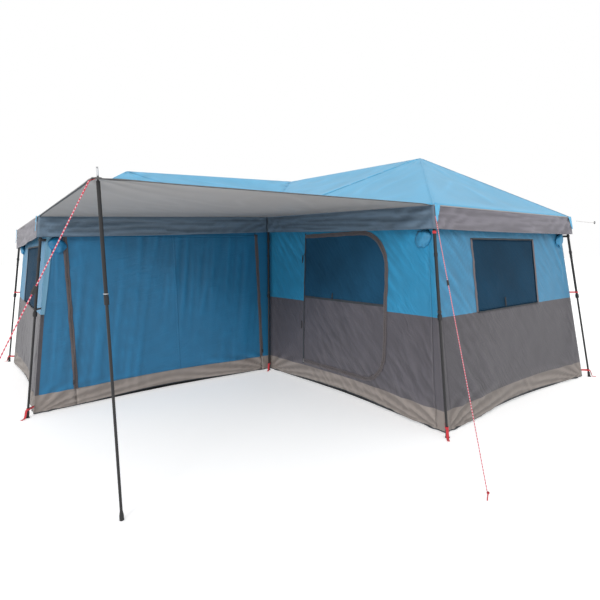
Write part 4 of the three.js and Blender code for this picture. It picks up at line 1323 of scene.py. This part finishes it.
# %% Roof seams
for k, (hub, legs) in enumerate(
    {
        "left": ["left_front", "left_back", "back_middle", "inner"],
        "corner": ["inner", "back_middle", "back_right", "right_middle"],
        "right": ["inner", "right_middle", "front_right", "front_left"],
    }.items()
):
    tapes = []
    for leg in legs:
        low, high = eave_point(leg), np.array(PEAKS[hub])
        line = [low + (high - low) * t for t in np.linspace(0.01, 0.985, 60)]
        tapes.append(
            webbing(f"seam_{leg}", [p + (0, 0, 0.001)
            for p in line], (0, 0, 1), 0.014, roof_cloth, -0.0006, k, thick=0.001)
        )
    seams = joined("roof_seams_" + hub, tapes)
    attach(seams, ROOT)
    print(seams.name, len(tapes), "seams")

# %% [markdown]
# ## The awning
# The awning is one square of cloth between the two porch eaves and a single pole. It is stretched by its pole's
# rope, so its free edges are bound, and it sags only a little in the middle.

# %% Awning cloth
NEAR_ROOF = -0.010
AWNING_CORNERS = {
    "inner": np.array([NEAR_ROOF, NEAR_ROOF, INNER_EAVE]),
    "left": np.array([-CABIN, NEAR_ROOF, EAVE]),
    "front": np.array([NEAR_ROOF, -CABIN, EAVE]),
    "pole": np.array([-2.120, -1.963, 1.588]),
}


def awning_point(u, v, lift=0.0):
    """u runs from the inner corner towards the left one, and v towards the front one."""
    weights = ((1 - u) * (1 - v), u * (1 - v), (1 - u) * v, u * v)
    point = sum(w[:, None] * AWNING_CORNERS[n] for w, n in zip(weights, ("inner", "left", "front", "pole")))
    middle = 16 * u * (1 - u) * v * (1 - v)
    hung = smooth(u / 0.03) * smooth(v / 0.03)
    to_pole = np.hypot(1 - u, 1 - v)
    turn = np.arctan2(1 - v + 0.01, 1 - u + 0.01)
    pull = 0.003 * np.sin(
        turn * 15 + 2 * soft_noise(u * 3, v * 3, 401)
    ) * np.exp(-to_pole / 0.22) * smooth(to_pole / 0.05)
    soft = 0.006 * soft_noise(u * 3.2, v * 3.2, 402) + 0.004 * (
        creases(u * 2 + v, v * 6 - u * 5, 403, 1.3) - 0.3
    )
    tucked = 0.006 * (1 - smooth(np.minimum(u, v) / 0.05))
    point[:, 2] += (pull + soft * smooth(4 * middle)) * hung - 0.018 * middle + 0.003 - tucked + lift
    return point


awning = sheet_piece(
    "awning_cloth", np.linspace(0, 1, 85), np.linspace(0, 1, 81), awning_point, [awning_cloth], (0, 0, 1)
)
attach(awning, ROOT)
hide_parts("awning_sheet")


def awning_tape(name, points, width, finish, lift):
    """A tape sewn on the awning along (u, v) points."""
    path = Path(points)

    def carry(s, v):
        place, run = path.at(s), path.direction(s)
        across = v * width / 2 / CABIN
        return awning_point(place[:, 0] - run[:, 1] * across, place[:, 1] + run[:, 0] * across, lift)

    tape = sheet_piece(
        name, path.steps(0.012), np.linspace(-1, 1, 5), carry, [finish], (0, 0, 1), thick=0.0008
    )
    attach(tape, ROOT)
    return tape


EDGE_TAPE = 0.012
inset = EDGE_TAPE / 2 / CABIN
for side, points in (
    ("left", [(1 - inset, 0), (1 - inset, 1)]),
    ("front", [(0, 1 - inset), (1, 1 - inset)]),
):
    for face, lift in (("top", 0.0014), ("under", -0.0022)):
        awning_tape(f"awning_edge_{side}_{face}", points, EDGE_TAPE, binding_cloth, lift)

# %% [markdown]
# ## The groundsheet
# The floor is a film that is welded along the walls. It goes with the legs' feet when the tent is lowered, so
# each part of it moves with the leg that stands beside it.

# %% Groundsheet
floor_low, floor_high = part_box("groundsheet")
SPLIT = 1.060
parts = {
    "left_front": ((floor_low.x, 0.0), (0.006, SPLIT)),
    "left_back": ((floor_low.x, 0.0), (SPLIT, floor_high.y)),
    "back_right": ((0.0, floor_high.x), (0.0, floor_high.y)),
    "front_right": ((SPLIT, floor_high.x), (floor_low.y, 0.0)),
    "front_left": ((0.006, SPLIT), (floor_low.y, 0.0)),
}


def draw_in(x, y):
    """Moves the floor's rim in with the hems of the walls."""
    rim = 0.012
    for name, wall in walls.items():
        across, along = (y, x) if wall.run == "x" else (x, y)
        a, b = wall.foot
        edge = abs(stand_at(wall.plane, 0))
        if wall.plane == "porch":
            near = smooth((0.5 - across) / 0.5) * (along < 0)
            shift = near
        else:
            sign = PLANES[wall.plane][0]
            near = smooth((across * sign - edge + 0.6) / 0.6)
            shift = -sign * near
        moved = across + shift * (
            BOW[wall.plane] * wall.between(np.clip(along, a, b)) + rim * (wall.plane != "porch")
        )
        x, y = (x, moved) if wall.run == "x" else (moved, y)
    return x, y


for leg, ((x0, x1), (y0, y1)) in parts.items():

    def carry(u, v):
        x, y = draw_in(u, v)
        return np.stack([x, y, floor_high.z - 0.001 + 0.0015 * soft_noise(u * 5, v * 5, 501)], axis=-1)

    part = sheet_piece(
        "groundsheet_" + leg,
        spaced(x0, x1, step=0.05),
        spaced(y0, y1, step=0.05),
        carry,
        [ground_film],
        (0, 0, 1),
        thick=0.0008,
    )
    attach(part, "leg_lower_" + leg)
    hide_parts("groundsheet")
    print(part.name, round(x1 - x0, 3), "by", round(y1 - y0, 3), "m")

# %% [markdown]
# ## Guy ropes
# Each rope is a tight line of braided yarn between a corner and its peg.

# %% Ropes
ROPE_DIAMETER = 0.005
ROUTES = {
    "guy_rope_front": [
        (-0.020, -2.152, 1.500), (-0.157, -2.343, 1.118), (-0.331, -2.585, 0.634), (-0.543, -2.880, 0.044)
    ],
    "guy_rope_awning": [
        (-2.128, -1.945, 1.580), (-2.327, -2.004, 1.203), (-2.606, -2.087, 0.674), (-2.925, -2.181, 0.070)
    ],
    "side_line": [
        (2.164, -2.168, 1.540), (2.260, -2.180, 1.536), (2.380, -2.195, 1.533), (2.480, -2.207, 1.533)
    ],
}


def rope_line(points, count=60):
    """A smooth line through a rope's points."""
    points = np.array(points)
    at = np.concatenate([[0], np.cumsum(np.linalg.norm(np.diff(points, axis=0), axis=1))])
    where = np.linspace(0, at[-1], count)
    return np.stack([np.polyval(np.polyfit(at, column, 3), where) for column in points.T], axis=-1)


def shorten_with(piece):
    """Gives the piece a mesh of its own."""
    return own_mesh(piece)


ropes = {}
for name, finish, joint, end in (
    ("guy_rope_front", red_rope, "leg_slide_front_left", "object"),
    ("guy_rope_awning", red_rope, "awning_pole_slide", "object"),
    ("side_line", pale_rope, None, "object"),
):
    line = rope_line(ROUTES[name])
    piece = tube(name + "_yarn", line, ROPE_DIAMETER / 2, finish, 10, 0.008)
    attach(piece, ROOT)
    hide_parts(name)
    if joint:
        shorten_with(piece)
    length = Path(line).length
    ropes[name] = piece
    print(name, round(length, 3), "m")

# %% [markdown]
# ## Corner pockets and gathers
# At each outer corner the roof's own blue cloth comes down over the band as a pocket for the leg's head, and the
# wall's spare cloth is bunched up under the band beside the leg. Each is made by one function from the two sides
# that its corner stands on, so all corners stay alike.

# %% Corner pockets
CORNERS = {
    "inner": ("porch", "porch"),
    "left_front": ("minus", "porch"),
    "left_back": ("minus", "plus"),
    "back_right": ("plus", "plus"),
    "front_right": ("plus", "minus"),
    "front_left": ("porch", "minus"),
}
OUTER_CORNERS = [name for name in CORNERS if name != "inner"]
AXES = np.eye(3)


def corner_pocket(name, width=0.062, drop=0.118):
    """A flap on each side of a corner, widest at the roof's edge and pointed at its foot."""
    corner, foot, signs = eave_point(name), band_foot(name), SIGNS[name]
    flaps = []
    for face in (0, 1):
        if CORNERS[name][face] == "porch":
            continue
        out, inwards = AXES[face] * signs[face], -AXES[1 - face] * signs[1 - face]

        def carry(s, t, out=out, inwards=inwards, face=face):
            edge = corner + (t * drop / BAND_DROP)[:, None] * (foot - corner)
            across = s * width * (1 - 0.75 * t)
            proud = 0.009 + 0.004 * soft_noise(s * 3, t * 5, 601 + face) * s
            return edge + across[:, None] * inwards + proud[:, None] * out + 0.003 * AXES[2]

        flap = sheet_piece(
            f"flap_{face}", spaced(0, 1, step=0.11), spaced(0, 1, step=0.08), carry, [roof_cloth], out
        )
        flaps.append(flap)
    pocket = joined("corner_pocket_" + name, flaps)
    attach(pocket, ROOT)


for name in OUTER_CORNERS:
    corner_pocket(name)
print("pockets", OUTER_CORNERS)

# %% Gathers beside the legs
GATHER_HEIGHT, GATHER_SIZE, GATHER_LENGTH = 1.365, 0.056, 0.135


def gather(name, along, seed):
    """A bunch of spare cloth under the band: a roll that is fat at its middle, with folds along it."""
    sides = CORNERS[name]
    signs = [PLANES[side][0] for side in sides]
    corner = np.array([stand_at(side, GATHER_HEIGHT) for side in sides] + [GATHER_HEIGHT])
    run, out = -AXES[along] * signs[along], AXES[1 - along] * signs[1 - along]

    def carry(s, angle):
        fat = np.sin(math.pi * np.clip(s, 0.015, 0.985)) ** 0.55
        rough = 1 + 0.30 * soft_noise(s * 4, np.cos(angle) * 1.6, seed)
        rough = rough + 0.20 * creases(s * 5, np.sin(angle) * 3 + s * 4, seed + 1, 1.2)
        deep, up = 0.42 * np.cos(angle) * fat * rough + 0.25, np.sin(angle) * fat * rough - 0.35 * s
        return (
            corner
            + (0.012 + s * GATHER_LENGTH)[:, None] * run
            + (GATHER_SIZE * deep)[:, None] * out
            + (GATHER_SIZE * up)[:, None] * AXES[2]
        )

    finish = porch_cloth if name == "left_front" else wall_cloth["falling"]
    piece = grid_piece(
        "gather_" + name, spaced(0, 1, step=0.04), np.linspace(0, math.tau, 21), carry, [finish]
    )
    close_ends(piece)
    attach(piece, ROOT)


GATHERS = (("left_front", 0), ("front_left", 1), ("front_right", 0), ("left_back", 1), ("back_right", 1))
for k, (name, along) in enumerate(GATHERS):
    gather(name, along, 700 + 10 * k)
print("gathers", len(GATHERS))

# %% Corner strip
STRIP_WIDTHS = (0.030, 0.080)


def corner_strip(s, t):
    """The side wall's bright cloth shows beside the leg as a strip that narrows towards the sill."""
    width = STRIP_WIDTHS[0] + (STRIP_WIDTHS[1] - STRIP_WIDTHS[0]) * t
    return left_porch.point(left_porch.foot[0] + s * width, SILL + t * (GATHER_HEIGHT + 0.08 - SILL), 0.003)


strip = sheet_piece(
    "corner_strip", spaced(0, 1, step=0.2), spaced(0, 1, step=0.04), corner_strip, [bright_cloth], (0, -1, 0)
)
fall_with(strip)
print("corner strip", len(strip.data.polygons), "faces")

# %% [markdown]
# ## Straps and small fittings
# Straps tie each wall's corner to its leg under the roof, over the lock collar and at the foot. Small toggles hold
# the rolled blinds and the door. A strap is a ribbon whose width stays upright, wrapped round the leg's axis.

# %% Leg straps
STRAP_RADIUS = 0.0125
LEG_OFFSET = 0.045  # from a wall's face to the axis of the leg outside it


def leg_axis(name, z):
    return np.array([stand_at(side, z, LEG_OFFSET) for side in CORNERS[name]] + [z])


def leg_strap(name, leg, z, body, width, finish):
    """A loop round the leg whose two ends are sewn to the corner of the wall."""
    axis = leg_axis(leg, z)
    corner = np.array([stand_at(side, z) for side in CORNERS[leg]] + [z])
    turn = math.atan2(corner[1] - axis[1], corner[0] - axis[0])
    angles = turn + np.linspace(0.45, math.tau - 0.45, 21)
    ring = [axis + STRAP_RADIUS * np.array([math.cos(a), math.sin(a), 0]) for a in angles]
    path = Path([corner, *ring, corner])

    def carry(s, v):
        return path.at(s) + (v * width / 2)[:, None] * AXES[2]

    strap = sheet_piece(
        name, path.steps(0.004), np.linspace(-1, 1, 3), carry, [finish], (0, -1, 0), thick=0.0014
    )
    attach(strap, body)


for leg in CORNERS:
    porch_leg = leg in ("inner", "left_front", "front_left")
    leg_strap("strap_collar_" + leg, leg, 0.848, ROOT, 0.014, black_webbing if porch_leg else red_webbing)
    leg_strap(
        "strap_top_" + leg, leg, 1.395, ROOT, 0.020, red_webbing if leg == "front_left" else black_webbing
    )
    leg_strap("strap_foot_" + leg, leg, 0.066, "leg_lower_" + leg, 0.016, red_webbing)
    foot = leg_axis(leg, 0.060)
    away = np.array([*(foot[:2] - [stand_at(side, 0.06) for side in CORNERS[leg]]), 0])
    away /= np.linalg.norm(away)
    shape = [(0.014, 0.066), (0.024, 0.045), (0.032, 0.018), (0.042, 0.004), (0.075, 0.003)]
    tab = webbing(
        "strap_tab_" + leg,
        [foot * (1, 1, 0) + away * r + AXES[2] * z for r, z in shape],
        (0, 0, 1),
        0.018,
        red_webbing,
        0.001,
    )
    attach(tab, "leg_lower_" + leg)
print("straps on", len(CORNERS), "legs")

# %% Toggles
def toggle(name, wall, u, z, length=0.075):
    """A short rod on a loop of cord, standing just off the wall."""
    rod = tube(
        "rod", wall.point(np.full(7, u), np.linspace(z, z + length, 7), 0.008), 0.0045, black_plastic, 8, 0.01
    )
    turns = np.linspace(0, math.pi, 9)
    loop = wall.point(u + 0.012 * np.sin(turns), z + length * (0.25 + 0.5 * turns / math.pi), 0.006)
    return joined(name, [rod, tube("loop", loop, 0.0018, black_webbing, 6, 0.006)])


for name, wall, leg, u, z in (
    ("front", "wall_front", "front_right", 0.93, SILL + 0.012),
    ("left", "wall_left", "left_back", 0.95, SILL + 0.012),
    ("hinge_high", "wall_right_porch", "inner", -DOOR_NEAR + 0.03, 1.17),
    ("hinge_low", "wall_right_porch", "inner", -DOOR_NEAR + 0.03, 0.52),
):
    piece = toggle("toggle_" + name, walls[wall], u, z)
    fall_with(piece)
door_toggle = with_door(toggle("toggle_door", right_porch, -1.02, DOOR_MESH_FOOT + 0.01, 0.050))
print("toggle on the door", len(door_toggle.data.polygons), "faces")

# %% Awning pole's fittings
POLE_TOP, POLE_FOOT = np.array([-2.090, -1.933, 1.582]), np.array([-2.070, -1.911, 0.0])
pole_way = (POLE_TOP - POLE_FOOT) / np.linalg.norm(POLE_TOP - POLE_FOOT)
sleeve = tube(
    "awning_pole_spike_sleeve", [POLE_TOP + pole_way * h for h in (0.016, 0.0585)], 0.0046, steel, 14, 0.01
)
washer = tube(
    "awning_grommet", [POLE_TOP + pole_way * h for h in (0.0105, 0.0150)], 0.0165, black_plastic, 24, 0.01
)
ring = tube("awning_pole_ring", [POLE_TOP - pole_way * h for h in (0.494, 0.491)], 0.0116, steel, 20, 0.01)
start = np.array(ROUTES["guy_rope_awning"][0])
rope_way = np.array(ROUTES["guy_rope_awning"][1]) - start
rope_way /= np.linalg.norm(rope_way)
tie = webbing(
    "awning_rope_tie",
    [POLE_TOP + AXES[2] * 0.014, start, start + rope_way * 0.07],
    (0, 0, 1),
    0.014,
    red_webbing,
    0.001,
)
for piece in (sleeve, washer, ring, tie):
    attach(piece, ROOT)
    print(piece.name)

# %% [markdown]
# ## Floor and light
# A pale floor and soft light from all round, with one large lamp from the front left, so that the folds in the
# cloth show and the shadows stay faint.

# %% Stage
bpy.ops.mesh.primitive_plane_add(size=160, location=(0, 0, 0))
ground = bpy.context.object
ground.name = "studio_floor"
ground_finish = Finish("studio floor", 0.9)
ground_finish.shader.inputs["Base Color"].default_value = (0.93, 0.93, 0.93, 1)
ground_finish.shader.inputs["Emission Color"].default_value = (1, 1, 1, 1)
ground_finish.shader.inputs["Emission Strength"].default_value = 0.34
ground.data.materials.append(ground_finish.material)
ground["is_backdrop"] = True

world = bpy.data.worlds.new("studio")
world.use_nodes = True
world.node_tree.nodes["Background"].inputs["Color"].default_value = (1, 1, 1, 1)
seen = world.node_tree.nodes.new("ShaderNodeLightPath")
strength = world.node_tree.nodes.new("ShaderNodeMapRange")
strength.inputs["To Min"].default_value, strength.inputs["To Max"].default_value = 0.88, 1.0
world.node_tree.links.new(seen.outputs["Is Camera Ray"], strength.inputs["Value"])
world.node_tree.links.new(strength.outputs["Result"], world.node_tree.nodes["Background"].inputs["Strength"])
bpy.context.scene.world = world
bpy.ops.object.light_add(type="SUN", location=(-4, -6, 7))
sun = bpy.context.object
sun.name = "key_light"
sun.data.energy = 1.15
sun.data.angle = math.radians(16)
sun.rotation_euler = Vector((-0.74, -0.56, 0.36)).to_track_quat("Z", "Y").to_euler()
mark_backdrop(sun, camera)

# %% Size
low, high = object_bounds()
print("visual box", low, high)
